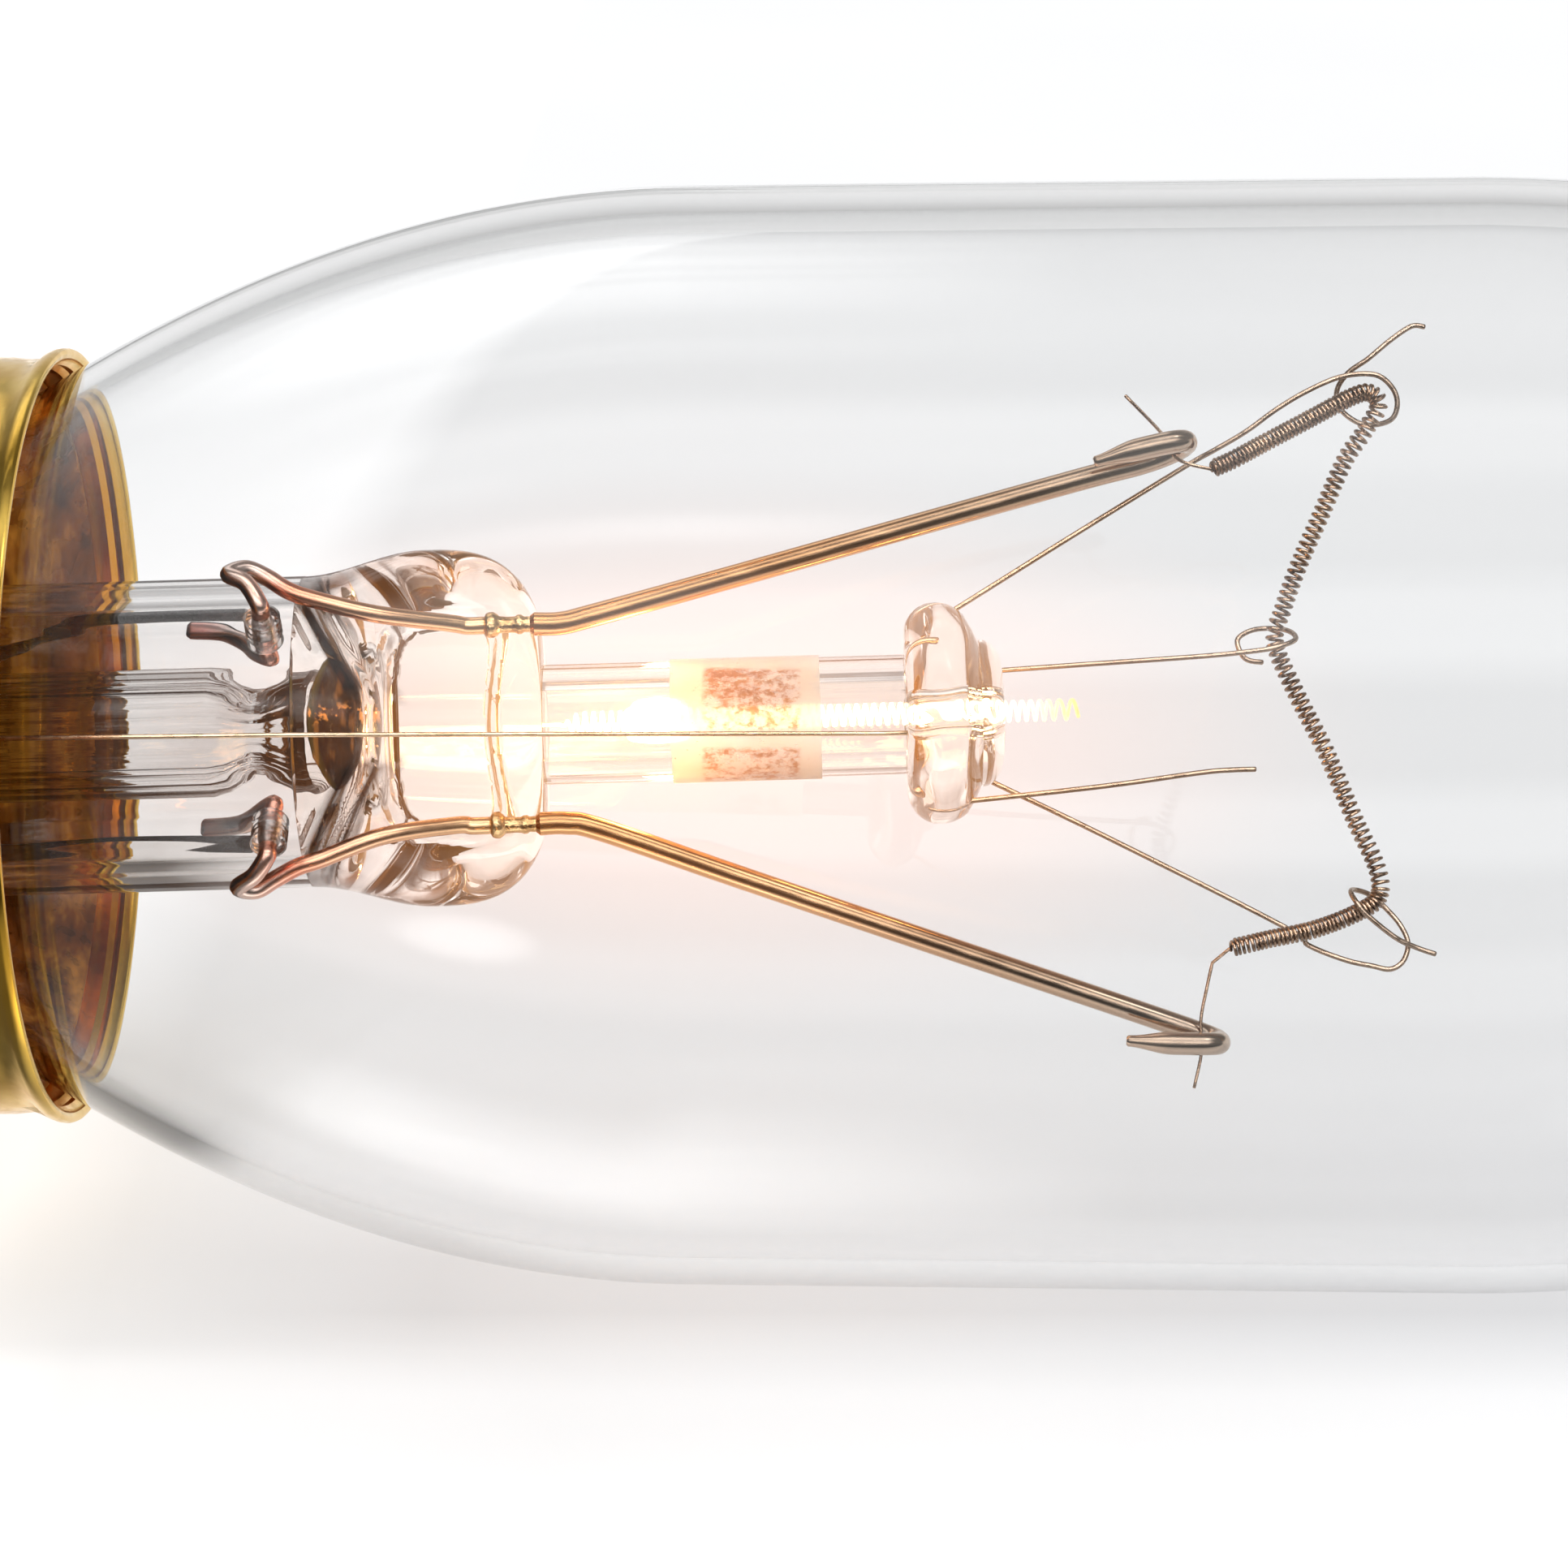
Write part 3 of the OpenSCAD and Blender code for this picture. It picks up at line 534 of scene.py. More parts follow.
def crease_shaded(t, waves, base):
    """base, with painted shade: brown ribbons beside the press's pinched middle and a wedge at each of its corners."""
    x, far = t.along_stem("X"), t.maths("ABSOLUTE", t.along_stem("Z"))
    u = t.plus(x, t.times(far, 0.55))
    phase = t.times(t.plus(u, t.times(waves, 0.6)), RIBBONS_PER_MM)
    ribbons = t.times(
        t.ranged(t.maths("SINE", phase), -0.1, 0.7, 0, 1), t.ranged(far, 0.5, 0.9, 0, 1),
        t.times(t.ranged(u, 7.0, 7.25, 0, 1), t.ranged(u, 7.9, 8.2, 1, 0)),
    )
    corner = t.plus(far, t.times(x, -0.35))
    wedge = t.times(
        t.ranged(corner, 0.75, 0.95, 0, 1), t.ranged(x, 6.8, 7.1, 1, 0), t.ranged(waves, 0.4, 0.55, 0.25, 1),
    )
    return t.blend(wedge, t.blend(ribbons, base, RIBBON_SHADE), WEDGE_SHADE)


def glass(name, tint, shade, scale=0.5, stretch=(0.15, 1, 1), depth=0.02, rough=0.0, glow=None, crease_shade=False, ior=1.5):
    """Clear glass with faint draw lines. shade is what lamps keep through it; glow is (reach, colour, power) round
    the coil; crease_shade paints brown shade into the creases of the press."""
    t = Tree(name)
    waves = t.noise(scale, stretch, detail=2.0)
    base = t.ramp(waves, [(0.3, tint), (0.7, tuple(0.99 * c for c in tint))])
    body = t.principled(
        Base_Color=crease_shaded(t, waves, base) if crease_shade else base,
        Roughness=rough,
        IOR=ior,
        Transmission_Weight=1.0,
        Normal=t.bumped(waves, 0.25, depth),
    )
    if glow:
        reach, colour, power = glow
        near = t.ranged(t.vector("DISTANCE", t.place, tuple(GLOW)), 0, reach, 1, 0)
        t.put(body, "Emission Color", t.blend(t.times(near, near), (0, 0, 0), colour))
        t.put(body, "Emission Strength", power)
    return through(t, body, shade)


EVEN = (1, 1, 1)
bulb_glass = glass(
    "clear_glass", (0.965, 0.967, 0.968), (0.96, 0.96, 0.965), scale=0.12, stretch=(0.3, 1, 1), depth=0.03,
)
stem_glass = glass("stem_glass", (0.98, 0.975, 0.97), (0.97, 0.97, 0.97))
arbor_glass = glass("arbor_glass", (0.99, 0.965, 0.94), (0.97, 0.97, 0.97), glow=(0.008, (1.0, 0.6, 0.25), 0.08))
press_glass = glass(
    "press_glass", (0.995, 0.955, 0.92), (0.95, 0.95, 0.95), scale=0.35, stretch=EVEN, depth=0.04,
    glow=(0.0085, (1.0, 0.6, 0.3), 0.35), crease_shade=True,
)
button_glass = glass(
    "button_glass", (0.99, 0.95, 0.91), (0.97, 0.97, 0.97), scale=0.6, stretch=EVEN, depth=0.06,
    glow=(0.011, (1.0, 0.7, 0.45), 0.25),
)
bead_glass = glass(
    "bead_glass", (1.0, 0.97, 0.95), (0.95, 0.95, 0.95), scale=1.2, stretch=EVEN, depth=0.03, rough=0.15, ior=1.33,
)
# The brass is a deeper orange on its inner faces, nearer the lamp's axis
brass = metal(
    "base_brass", [(0.72, 0.4, 0.045), (0.95, 0.64, 0.14)], 0.3, (0.1, 0.26), (1.6, 1, 0.7), 0.01,
    axis_side=(8.48, 8.6, (0.85, 0.42, 0.03)),
)
contact_brass = metal("contact_brass", [(0.74, 0.55, 0.22), (0.86, 0.68, 0.34)], 0.5, (0.25, 0.45))
solder = metal("solder", [(0.5, 0.51, 0.53), (0.72, 0.73, 0.75)], 0.9, (0.3, 0.55), depth=0.03)
# The leads turn orange towards the press end: partly the wire's own colour, partly painted glow from the hot coil
lead_wire = metal(
    "lead_wire", [(0.84, 0.8, 0.76), (1.0, 0.98, 0.95)], 0.7, (0.08, 0.16), (0.12, 1, 1), 0.0006,
    (10.5, 27, [
        (0.0, (1.0, 0.56, 0.26)), (0.3, (0.95, 0.56, 0.3)), (0.62, (0.66, 0.45, 0.3)), (1.0, (0.56, 0.46, 0.38)),
    ]),
)
copper_wire = metal(
    "copper_wire", [(0.85, 0.82, 0.8), (1.0, 0.96, 0.92)], 1.1, (0.17, 0.24), (0.2, 1, 1), 0.0006,
    (3.2, 10, [
        (0.0, (1.0, 0.55, 0.5)), (0.1, (0.85, 0.74, 0.7)), (0.2, (0.95, 0.72, 0.62)), (0.33, (1.0, 0.42, 0.28)),
        (0.5, (1.0, 0.58, 0.38)), (1.0, (1.0, 0.68, 0.38)),
    ]),
)
blackened_wire = metal(
    "blackened_wire", [(0.03, 0.03, 0.033), (0.1, 0.095, 0.095)], 1.5, (0.2, 0.36), (0.3, 1, 1), metallic=0.8,
)
weld = metal("weld", [(0.62, 0.36, 0.15), (1.0, 0.68, 0.34)], 2.2, (0.12, 0.28), depth=0.03)
support_wire = metal(
    "support_wire", [(0.8, 0.8, 0.8), (1, 1, 1)], 1.5, (0.2, 0.4), (0.3, 1, 1), 0.004,
    (18, 31, [(0.0, (0.75, 0.46, 0.26)), (0.4, (0.4, 0.27, 0.18)), (1.0, (0.44, 0.33, 0.25))]),
)
tie_metal = metal("tie_wire", [(0.7, 0.47, 0.28), (0.95, 0.7, 0.46)], 1.5, (0.2, 0.35), (0.3, 1, 1), 0.004)
filament_wire = metal("filament_wire", [(0.2, 0.13, 0.09), (0.42, 0.29, 0.2)], 1.2, (0.2, 0.36), depth=0.003)


def insulator_glass():
    """Black moulded glass with a deep violet cast."""
    t = Tree("black_glass")
    patches = t.noise(0.3, detail=4.0, rough=0.6)
    fine = t.noise(1.5)
    return t.finish(t.principled(
        Base_Color=t.ramp(patches, [(0.3, (0.012, 0.008, 0.012)), (0.7, (0.03, 0.02, 0.028))]),
        Roughness=t.varied(fine, 0.08, 0.2),
        Coat_Weight=0.5,
        Normal=t.bumped(fine, 0.6, 0.02),
    ))


def burnt_cement():
    """Baked brown cement, glazed where it met the hot glass, with amber streaks that are partly its own tone and
    partly painted glints, and a painted glow where its colour is also emitted in patches.
    """
    t = Tree("cement")
    patches = t.noise(0.35, (2.2, 1, 0.5), 4.0, 0.6)
    fine = t.noise(1.6, (1, 1, 0.4))
    colour = t.ramp(patches, [(0.36, (0.07, 0.016, 0.002)), (0.5, (0.3, 0.085, 0.008)), (0.64, (0.85, 0.36, 0.05))])
    return t.finish(t.principled(
        Base_Color=colour,
        Metallic=0.6,
        # Painted glow: the colour is also emitted, more strongly in some patches
        Emission_Color=colour,
        Emission_Strength=t.ranged(fine, 0.4, 0.7, 0.04, 0.3),
        Roughness=t.varied(fine, 0.18, 0.45),
        Normal=t.bumped(fine, 0.6, 0.05),
    ))


# The mouth of the exhaust tube, painted dark with the refracted brass, lies a little to one side of the stem's axis,
# and its left edge is an arc
MOUTH_Z = 0.15
MOUTH_CURVE = 0.22
OLIVE = (0.42, 0.3, 0.06)


def painted_mouth_glass():
    """Dark amber glass with an olive left edge, a painted refraction of the dark brass seen through the exhaust tube's
    mouth, with painted glints and glow from the coil.
    """
    t = Tree("brown_glass")
    streaks = t.noise(0.9, (1.6, 1, 0.6), 3.0, 0.6)
    x, z = t.along_stem("X"), t.along_stem("Z")
    colour = t.ramp(streaks, [(0.3, (0.045, 0.015, 0.004)), (0.55, (0.16, 0.06, 0.015)), (0.72, (0.42, 0.2, 0.07))])
    off_middle = t.plus(z, -MOUTH_Z)
    from_edge = t.maths("SUBTRACT", x, t.times(off_middle, off_middle, MOUTH_CURVE))
    colour = t.blend(t.ranged(from_edge, 5.68, 5.84, 0.85, 0), colour, OLIVE)
    # Painted glints and glow: orange emission in a band across the mouth and in streaky patches
    band = t.ranged(t.maths("ABSOLUTE", t.plus(z, -0.35)), 0.08, 0.3, 1, 0)
    painted_glints = t.times(band, t.ranged(t.noise(3.2, (1, 1, 1.6)), 0.54, 0.6, 0, 1))
    painted_glow = t.ranged(t.noise(1.8, (1.8, 1, 0.5), 2.0), 0.56, 0.66, 0, 0.22)
    return t.finish(t.principled(
        Base_Color=colour,
        Transmission_Weight=0.2,
        IOR=1.45,
        Roughness=t.varied(streaks, 0.03, 0.1),
        Emission_Color=(1.0, 0.34, 0.06, 1),
        Emission_Strength=t.maths("MAXIMUM", painted_glints, painted_glow),
        Normal=t.bumped(streaks, 0.5, 0.08),
    ))


def glowing():
    """The hot coil's wire, which glows less where it leaves the button."""
    t = Tree("glowing_wire")
    heat = t.ranged(t.axis("X"), (20.5 + RIM_X) * MM, (23.3 + RIM_X) * MM, 0, 1)
    return t.finish(t.principled(
        Base_Color=(0.6, 0.45, 0.3, 1),
        Metallic=1.0,
        Roughness=t.varied(t.noise(2.0), 0.3, 0.5),
        Emission_Color=t.ramp(heat, [(0.0, (1.0, 0.72, 0.34)), (1.0, (1.0, 0.55, 0.22))]),
        Emission_Strength=t.ranged(heat, 0, 1, 7.0, 1.1),
    ))


def enamel():
    """Cream enamel with two worn fields of rust-brown mottling above and below a strip that a painted glow makes
    yellow: its colour is also emitted, strongest along the strip.
    """
    t = Tree("band_enamel")
    middle = STEM @ Vector((15.5, 0, 0))
    x = t.ranged(t.axis("X"), (middle.x - 1.0) * MM, (middle.x + 1.3) * MM, 0, 1)
    height = t.ranged(t.axis("Z"), (middle.z - ARBOR_R) * MM, (middle.z + ARBOR_R) * MM, -1, 1)
    specks = t.noise(5.5, (0.7, 1, 1), 5.0, 0.75)
    clouds = t.noise(1.1, detail=2.0)
    field_x = t.times(t.ranged(x, 0.0, 0.06, 0, 1), t.ranged(x, 0.94, 1.0, 1, 0))
    upper = t.times(t.ranged(height, 0.12, 0.2, 0, 1), t.ranged(height, 0.97, 1.0, 1, 0))
    lower = t.times(t.ranged(height, -0.92, -0.85, 0, 1), t.ranged(height, -0.2, -0.12, 1, 0))
    field = t.times(field_x, t.maths("MAXIMUM", upper, lower))
    mottling = t.plus(specks, t.varied(clouds, -0.06, 0.08))
    worn = t.times(field, t.ranged(mottling, 0.46, 0.6, 0, 0.85))
    cream = t.ramp(t.noise(0.8), [(0.3, (1.0, 0.87, 0.74)), (0.7, (1.0, 0.93, 0.86))])
    colour = t.blend(worn, t.blend(field, cream, (1.0, 0.89, 0.82)), (0.6, 0.27, 0.11))
    from_middle = t.maths("ABSOLUTE", t.plus(height, -0.05))
    body = t.principled(
        Base_Color=colour,
        Roughness=t.varied(specks, 0.25, 0.45),
        Transmission_Weight=0.5,
        IOR=1.2,
        # Painted glow from the coil: the enamel's colour is emitted, most along the middle strip
        Emission_Color=colour,
        Emission_Strength=t.ranged(from_middle, 0.05, 0.6, 0.3, 0.08),
        Normal=t.bumped(specks, 0.4, 0.02),
    )
    return through(t, body, (0.9, 0.85, 0.75))


cement = burnt_cement()
brown_glass = painted_mouth_glass()
black_glass = insulator_glass()
glowing_wire = glowing()
band_enamel = enamel()


# Glass bulb
def glass_r(x):
    if x < -BLEND_LEN:
        return NECK_D / 2
    if x < 0:
        return NECK_D / 2 + (THROAT_D - NECK_D) / 2 * ((x + BLEND_LEN) / BLEND_LEN) ** 2
    if x < SHOULDER_LEN:
        return BODY_D / 2 - (BODY_D - THROAT_D) / 2 * ((SHOULDER_LEN - x) / SHOULDER_LEN) ** 2
    return mix(BODY_D, GLASS_D, (x - SHOULDER_LEN) / (DOME_X - SHOULDER_LEN)) / 2


def bulb_outline(inset):
    out = [(x, glass_r(x) - inset) for x in (mix(-NECK_LEN, DOME_X, i / 90) for i in range(90))]
    for i in range(49):
        a = math.radians(90 * i / 48)
        r = (GLASS_D / 2 - inset) * max(0.0, math.cos(a)) ** (2 / DOME_POWER)
        out.append((DOME_X + (DOME_LEN - inset) * math.sin(a), 0.0 if i == 48 else r))
    return out


piece(
    "glass_bulb", *lathe(bulb_outline(INSIDE) + bulb_outline(WALL)[::-1], 160),
    LAMP, bulb_glass, "clear_glass", ["envelope"], sharp=60,
)


# Brass shell
def thread_r(x, angle):
    down = -SKIRT_LEN - x
    fade = ease((down - 1.6) / 0.9) * ease((THREAD_LEN - 0.9 - down) / 0.8)
    cone = 0.75 * ease((down - (THREAD_LEN - 0.9)) / 0.9)
    wave = 0.5 + 0.5 * math.cos(2 * math.pi * x / THREAD_PITCH - angle)
    return THREAD_ROOT - cone + THREAD_DEPTH * fade * wave


# Where the rim is staked to the neck, in degrees round it, and how far the photo has the rolled rim from the CAD's
STAKES = (118, 238)
RIM_FORWARD, RIM_INWARD = 0.2, 0.14


def shell_shape(x, r, angle):
    if x < -SKIRT_LEN - 0.35:
        return x, thread_r(x, angle) - (THREAD_D / 2 - r)
    if x > -0.95 and r < 8.8:
        r += 0.1 * sum(bump((angle - math.radians(at)) / 0.035) for at in STAKES) * bump((x + 0.45) / 0.4)
    rolled = ease((x + 1.1) / 0.6)
    return x + RIM_FORWARD * rolled, r - RIM_INWARD * rolled


def shell_outline():
    r, top, crest, root = SKIRT_D / 2, RIM_D / 2, THREAD_D / 2, THREAD_ROOT
    thread = [mix(SHELL_END, -SKIRT_LEN - 0.4, i / 92) for i in range(93)]
    out = [(x, crest) for x in thread]
    out += from_x(-SKIRT_LEN, [(-0.3, root), (-0.26, root + 0.3), (-0.2, r - 0.2), (-0.12, r - 0.05), (0.1, r)])
    out += [(-3.6, r), (-2.0, r), (-1.1, r)]
    out += [(-0.8, r + 0.03), (-0.55, r + 0.12), (-0.35, top - 0.06), (-0.22, top - 0.01), (-0.1, top)]
    out += [(-0.03, top - 0.03), (0.0, top - 0.09), (-0.01, top - 0.17), (-0.06, top - 0.23)]
    out += [(-0.14, top - 0.24), (-0.22, top - 0.31), (-0.28, top - 0.38), (-0.36, top - 0.38), (-0.44, top - 0.36)]
    out += [(-0.52, top - 0.42), (-0.58, top - 0.47), (-0.66, top - 0.46), (-0.75, top - 0.49)]
    out += [(-0.84, r - SHEET + 0.05), (-0.95, r - SHEET), (-3.0, r - SHEET)]
    out += from_x(-SKIRT_LEN, [(0.1, r - SHEET), (0, r - SHEET - 0.1), (-0.05, root - 0.1), (-0.15, root - SHEET)])
    return out + [(x, crest - SHEET) for x in thread[::-1]]


piece("screw_shell", *lathe(shell_outline(), 144, shape=shell_shape), LAMP, brass, "base_brass", ["base_shell"])

# Insulator, contact, solder and cement
PLUG_R = THREAD_ROOT - SHEET - 0.2
END_R = THREAD_ROOT - SHEET - 0.85
FOOT_R = CONTACT_R + 1.2
plug = from_x(SHELL_END, [
    (2.6, 0.6), (2.6, PLUG_R - 0.6), (2.2, PLUG_R), (1.2, PLUG_R), (0.3, END_R + 0.12), (0.08, END_R),
    (-0.2, END_R - 0.02), (-0.38, END_R - 0.12),
])
plug += [(mix(SHELL_END, CONTACT_X, t), mix(END_R, FOOT_R, s)) for t, s in ((0.4, 0.4), (0.6, 0.62))]
plug += from_x(CONTACT_X, [
    (1.7, FOOT_R), (1.15, CONTACT_R + 1.1), (0.8, CONTACT_R + 0.75), (0.65, CONTACT_R + 0.5), (0.6, CONTACT_R),
    (0.6, 0.6),
])
piece("glass_insulator", *lathe(plug), LAMP, black_glass, "black_glass", ["base_insulator"], sharp=50)
disc = from_x(CONTACT_X, [
    (0.59, 0.5), (0.59, CONTACT_R), (0.3, CONTACT_R), (0.12, CONTACT_R - 0.05), (0.03, CONTACT_R - 0.15),
    (0, CONTACT_R - 0.3), (0, 0.5),
])
piece("contact_disc", *lathe(disc), LAMP, contact_brass, "contact_brass", ["centre_contact"])

dome = [(CONTACT_X + 0.4, 0.0), (CONTACT_X + 0.4, 0.49), (CONTACT_X - 0.01, 0.49)]
dome += [
    (CONTACT_X - 0.01 - 0.59 * math.sin(math.radians(a)), 0.0 if a == 90 else 1.45 * math.cos(math.radians(a)) ** 0.8)
    for a in range(0, 91, 10)
]
piece(
    "contact_solder", *lathe(dome, 48, closed=False, shape=lumpy(0.12, 1.3, 2.0)),
    LAMP, solder, "solder", ["centre_solder"],
)

SKIRT_BORE = SKIRT_D / 2 - SHEET - 0.02
ring = [(x, glass_r(x) + 0.015) for x in (mix(-SKIRT_LEN + 0.02, -0.62, i / 16) for i in range(17))]
ring += [(-0.66, 7.9), (-0.72, 8.15), (-0.84, 8.3), (-1.0, SKIRT_BORE), (-3.0, SKIRT_BORE)]
ring += [(-SKIRT_LEN + 0.02, SKIRT_BORE)]
piece(
    "cement_ring", *lathe(ring, 120, shape=lumpy(0.02, 1.4, 6.0)),
    LAMP, cement, "cement", ["basing_cement"],
)

# Glass stem
rise = NECK_D / 2 - FLARE_R - PLAY
reach = NECK_LEN - 2 + NECK_D * math.sin(STEM_TILT) + 2 * PLAY
flare = [(x, FLARE_R) for x in (FLARE_LEN, 4.0, 2.0, 0.0)]
flare += [(-2 - reach * math.sin(a), FLARE_R + rise * (1 - math.cos(a))) for a in arc(0, 90, 24)]
flare += [
    (-2 - (reach + FLARE_WALL) * math.sin(a), FLARE_BORE + (rise + FLARE_WALL) * (1 - math.cos(a)))
    for a in arc(90, 0, 24)
]
flare += [(x, FLARE_BORE) for x in (0.0, 2.0, 4.0, FLARE_LEN)]
piece(
    "flare_glass", *lathe(flare, 240, shape=drawn(0.022, 1.0)), STEM, stem_glass, "stem_glass", ["flare_tube"],
)

bore = EXHAUST_R - EXHAUST_WALL
exhaust = [(-10.4, 0.0), (-10.3, 0.65), (-9.8, 1.16)] + [(x, EXHAUST_R) for x in (-9.0, -5.0, 0.0, 3.4)]
exhaust += [(3.8, 1.38), (4.1, 1.12), (4.35, 0.98), (4.6, 1.0), (4.9, 1.16), (5.2, 1.38)]
exhaust += [(MOUTH_X - 0.1, 1.52), (MOUTH_X - 0.03, 1.5), (MOUTH_X - 0.1, 1.36), (5.1, 1.1), (4.8, 0.84)]
exhaust += [(4.6, 0.66), (4.3, 0.62), (4.0, 0.8), (3.75, 1.05)]
exhaust += [(x, bore) for x in (3.4, 0.0, -5.0, -8.7)] + [(-9.4, 0.58), (-9.6, 0.0)]
piece(
    "exhaust_glass", *lathe(exhaust, 240, closed=False, shape=drawn(0.05, 5.0, 0.015)),
    STEM, stem_glass, "stem_glass", ["exhaust_tube"],
)


def press_part(x):
    return (x - PRESS_START) / (PRESS_END - PRESS_START)


def press_half_w(t):
    if t < 0.5:
        return mix(2 * FLARE_R, PRESS_W, ease(2 * t)) / 2
    return PRESS_W / 2 * (0.42 + 0.58 * math.sqrt(max(0.0, 1 - (2 * t - 1) ** 3)))


def press_half_t(t):
    return mix(2 * FLARE_R, PRESS_T, ease(t / 0.75)) / 2


def oval_rows(stations, sides):
    """Rings of an oval loft; stations are (x, half thickness, half width)."""
    verts, rows = [], []
    for x, half_t, half_w in stations:
        rows.append(list(range(len(verts), len(verts) + sides)))
        for k in range(sides):
            a = 2 * math.pi * k / sides
            verts.append((x, half_t * math.cos(a), half_w * math.sin(a)))
    return verts, rows


def pressed(point):
    """The press's skin, pinched flat between its two lobes and creased where the tube was flattened."""
    x, y, z = point
    far = abs(z)
    start, end = PINCH_START, PINCH_END + 0.085 * z * z
    away = (abs(2 * x - start - end) / (end - start)) ** 4 + (far / PINCH_HALF_W) ** 4
    pinch = ease((1.09 - away ** 0.25) / 0.18)
    y *= mix(1.0, PINCH_HALF_T / press_half_t(press_part(x)), pinch)
    u = x - (7.45 - 0.55 * far)
    crease = math.cos(2 * math.pi * u / 0.7) * bump((u + 0.1) / 0.95)
    crease *= ease((far - 0.3) / 0.5) * ease((3.6 - far) / 0.6) * (1 - pinch)
    crease *= ease((math.hypot((x - MOUTH_X - 0.83) / 0.9, z / 1.6) - 1) / 0.25)
    y += math.copysign(0.14 * crease, y) * clamp(abs(y) / 0.5)
    return x, y, z


# The press is open at the flare tube's end, so its skin starts at the bottom of the hollow and turns back over it
PRESS_SIDES = 200
hollow = [
    (mix(PRESS_START, HOLLOW_X, s), *2 * [FLARE_BORE * (1.0001 - s ** 4) ** 0.25])
    for s in (1.0, 0.997, 0.99, 0.975, 0.95, 0.92, 0.88, 0.8, 0.7, 0.6, 0.45, 0.3, 0.15, 0.0)
]
skin = [
    (mix(PRESS_START, PRESS_END, t), press_half_t(t), press_half_w(t))
    for t in [i / 90 for i in range(78)] + [0.87, 0.88, 0.89, 0.905, 0.92, 0.935, 0.95, 0.965, 0.98, 0.99, 0.997, 1.0]
]
verts, rows = oval_rows(hollow + skin, PRESS_SIDES)
inner_verts = len(hollow) * PRESS_SIDES
verts = verts[:inner_verts] + [pressed(v) for v in verts[inner_verts:]]
piece("press_body", verts, capped(rows), STEM, press_glass, "press_glass", ["press"], sharp=55)

# The mouth is a flat almond in front of the exhaust tube's end, a dark piece that carries the painted refraction of
# the brass
MOUTH_FLATNESS = 0.45
MOUTH_Y = -1.7
mouth = [(0.07, 0.0), (0.09, 0.4), (0.18, 0.8), (0.34, 1.15), (0.52, 1.42), (0.68, 1.56), (0.84, 1.54), (1.02, 1.42)]
mouth += [(1.25, 1.2), (1.48, 0.92), (1.63, 0.62), (1.73, 0.32), (1.77, 0.12), (1.77, 0.0)]
verts, faces = lathe(from_x(MOUTH_X, mouth), 96, closed=False, shape=lumpy(0.06, 1.6, 3.0))
piece(
    "exhaust_mouth", [(x, MOUTH_FLATNESS * y + MOUTH_Y, z + MOUTH_Z) for x, y, z in verts], faces,
    STEM, brown_glass, "stem_glass", ["exhaust_tube"],
)

bead = [(0.0, 0.21), (0.0, 0.3), (0.06, 0.36)]
bead += [(0.1 + 0.9 * i / 36, 0.365 + 0.045 * math.cos(2 * math.pi * i / 9)) for i in range(37)]
bead += [(1.05, 0.34), (1.1, 0.28), (1.1, 0.21)]
for end, side in SIDES:
    turn = Matrix.Rotation(math.pi / 2 - side * BEAD_ANGLE, 4, "X") @ Matrix.Rotation(-math.pi / 2, 4, "Y")
    at = (BEAD_X, -BEAD_FROM * math.cos(BEAD_ANGLE), side * BEAD_FROM * math.sin(BEAD_ANGLE))
    piece(
        "bead_" + end, *lathe(bead, 48), STEM @ Matrix.Translation(at) @ turn,
        bead_glass, "bead_glass", ["lead_bead_" + end],
    )

arbor_xs = (PRESS_END + 0.01, 14.0, 17.0, BUTTON_X - 0.01)
arbor_bore = ARBOR_R - ARBOR_WALL
piece(
    "arbor_glass",
    *lathe([
        (arbor_xs[0], arbor_bore), *((x, ARBOR_R) for x in arbor_xs), *((x, arbor_bore) for x in arbor_xs[:0:-1]),
    ], 160, shape=drawn(0.012, 2.0)),
    STEM, arbor_glass, "stem_glass", ["arbor_tube"],
)
band_x = PRESS_END + 2.87
band_r = ARBOR_R + 0.01
piece(
    "arbor_label",
    *lathe([
        (band_x, band_r), (band_x, band_r + BAND_T), (band_x + BAND_LEN, band_r + BAND_T), (band_x + BAND_LEN, band_r),
    ], 72),
    STEM, band_enamel, "band_enamel", ["arbor_band"],
)

lobe = 0.36 * BUTTON_T
lobe_r = BUTTON_R - lobe
swell = 0.24 * BUTTON_T
button_bore = 0.385
button = [(BUTTON_X, button_bore)]
button += [(BUTTON_X + lobe * (1 + math.sin(a)), lobe_r + lobe * math.cos(a)) for a in arc(-90, 45, 14)]
button += [(BUTTON_X + 0.7 * BUTTON_T, lobe_r + 0.25)]
button += [(HEAD_X - swell + swell * math.sin(a), lobe_r - 0.75 + 0.7 * math.cos(a)) for a in arc(0, 90, 10)]
button += [(HEAD_X, button_bore)]
piece(
    "button_body", *lathe(button, 72, shape=lumpy(0.09, 0.9, 9.0)),
    STEM, button_glass, "button_glass", ["button"],
)


# Wires
def stem_point(x, r_y, r_z, degrees):
    a = math.radians(degrees)
    return (x, -r_y * math.cos(a), r_z * math.sin(a))


def in_tube(corners, x):
    return [stem_point(x + p[0], FLARE_BORE - p[1], FLARE_BORE - p[1], p[2]) for p in corners]


def round_tube(corners, x):
    return [stem_point(x + p[0], FLARE_R + p[1], FLARE_R + p[1], p[2]) for p in corners]


def on_press(corners):
    return [
        stem_point(mix(PRESS_START, PRESS_END, p[0]), press_half_t(p[0]) + p[1], press_half_w(p[0]) + p[1], p[2])
        for p in corners
    ]


def bead_point(r):
    return (BEAD_X, -r * math.cos(BEAD_ANGLE), r * math.sin(BEAD_ANGLE))


def wire(name, route, d, material, slot, node, steps=8, sides=14):
    piece(name, *tube(spline(route, steps), d / 2, sides), STEM, material, slot, [node])


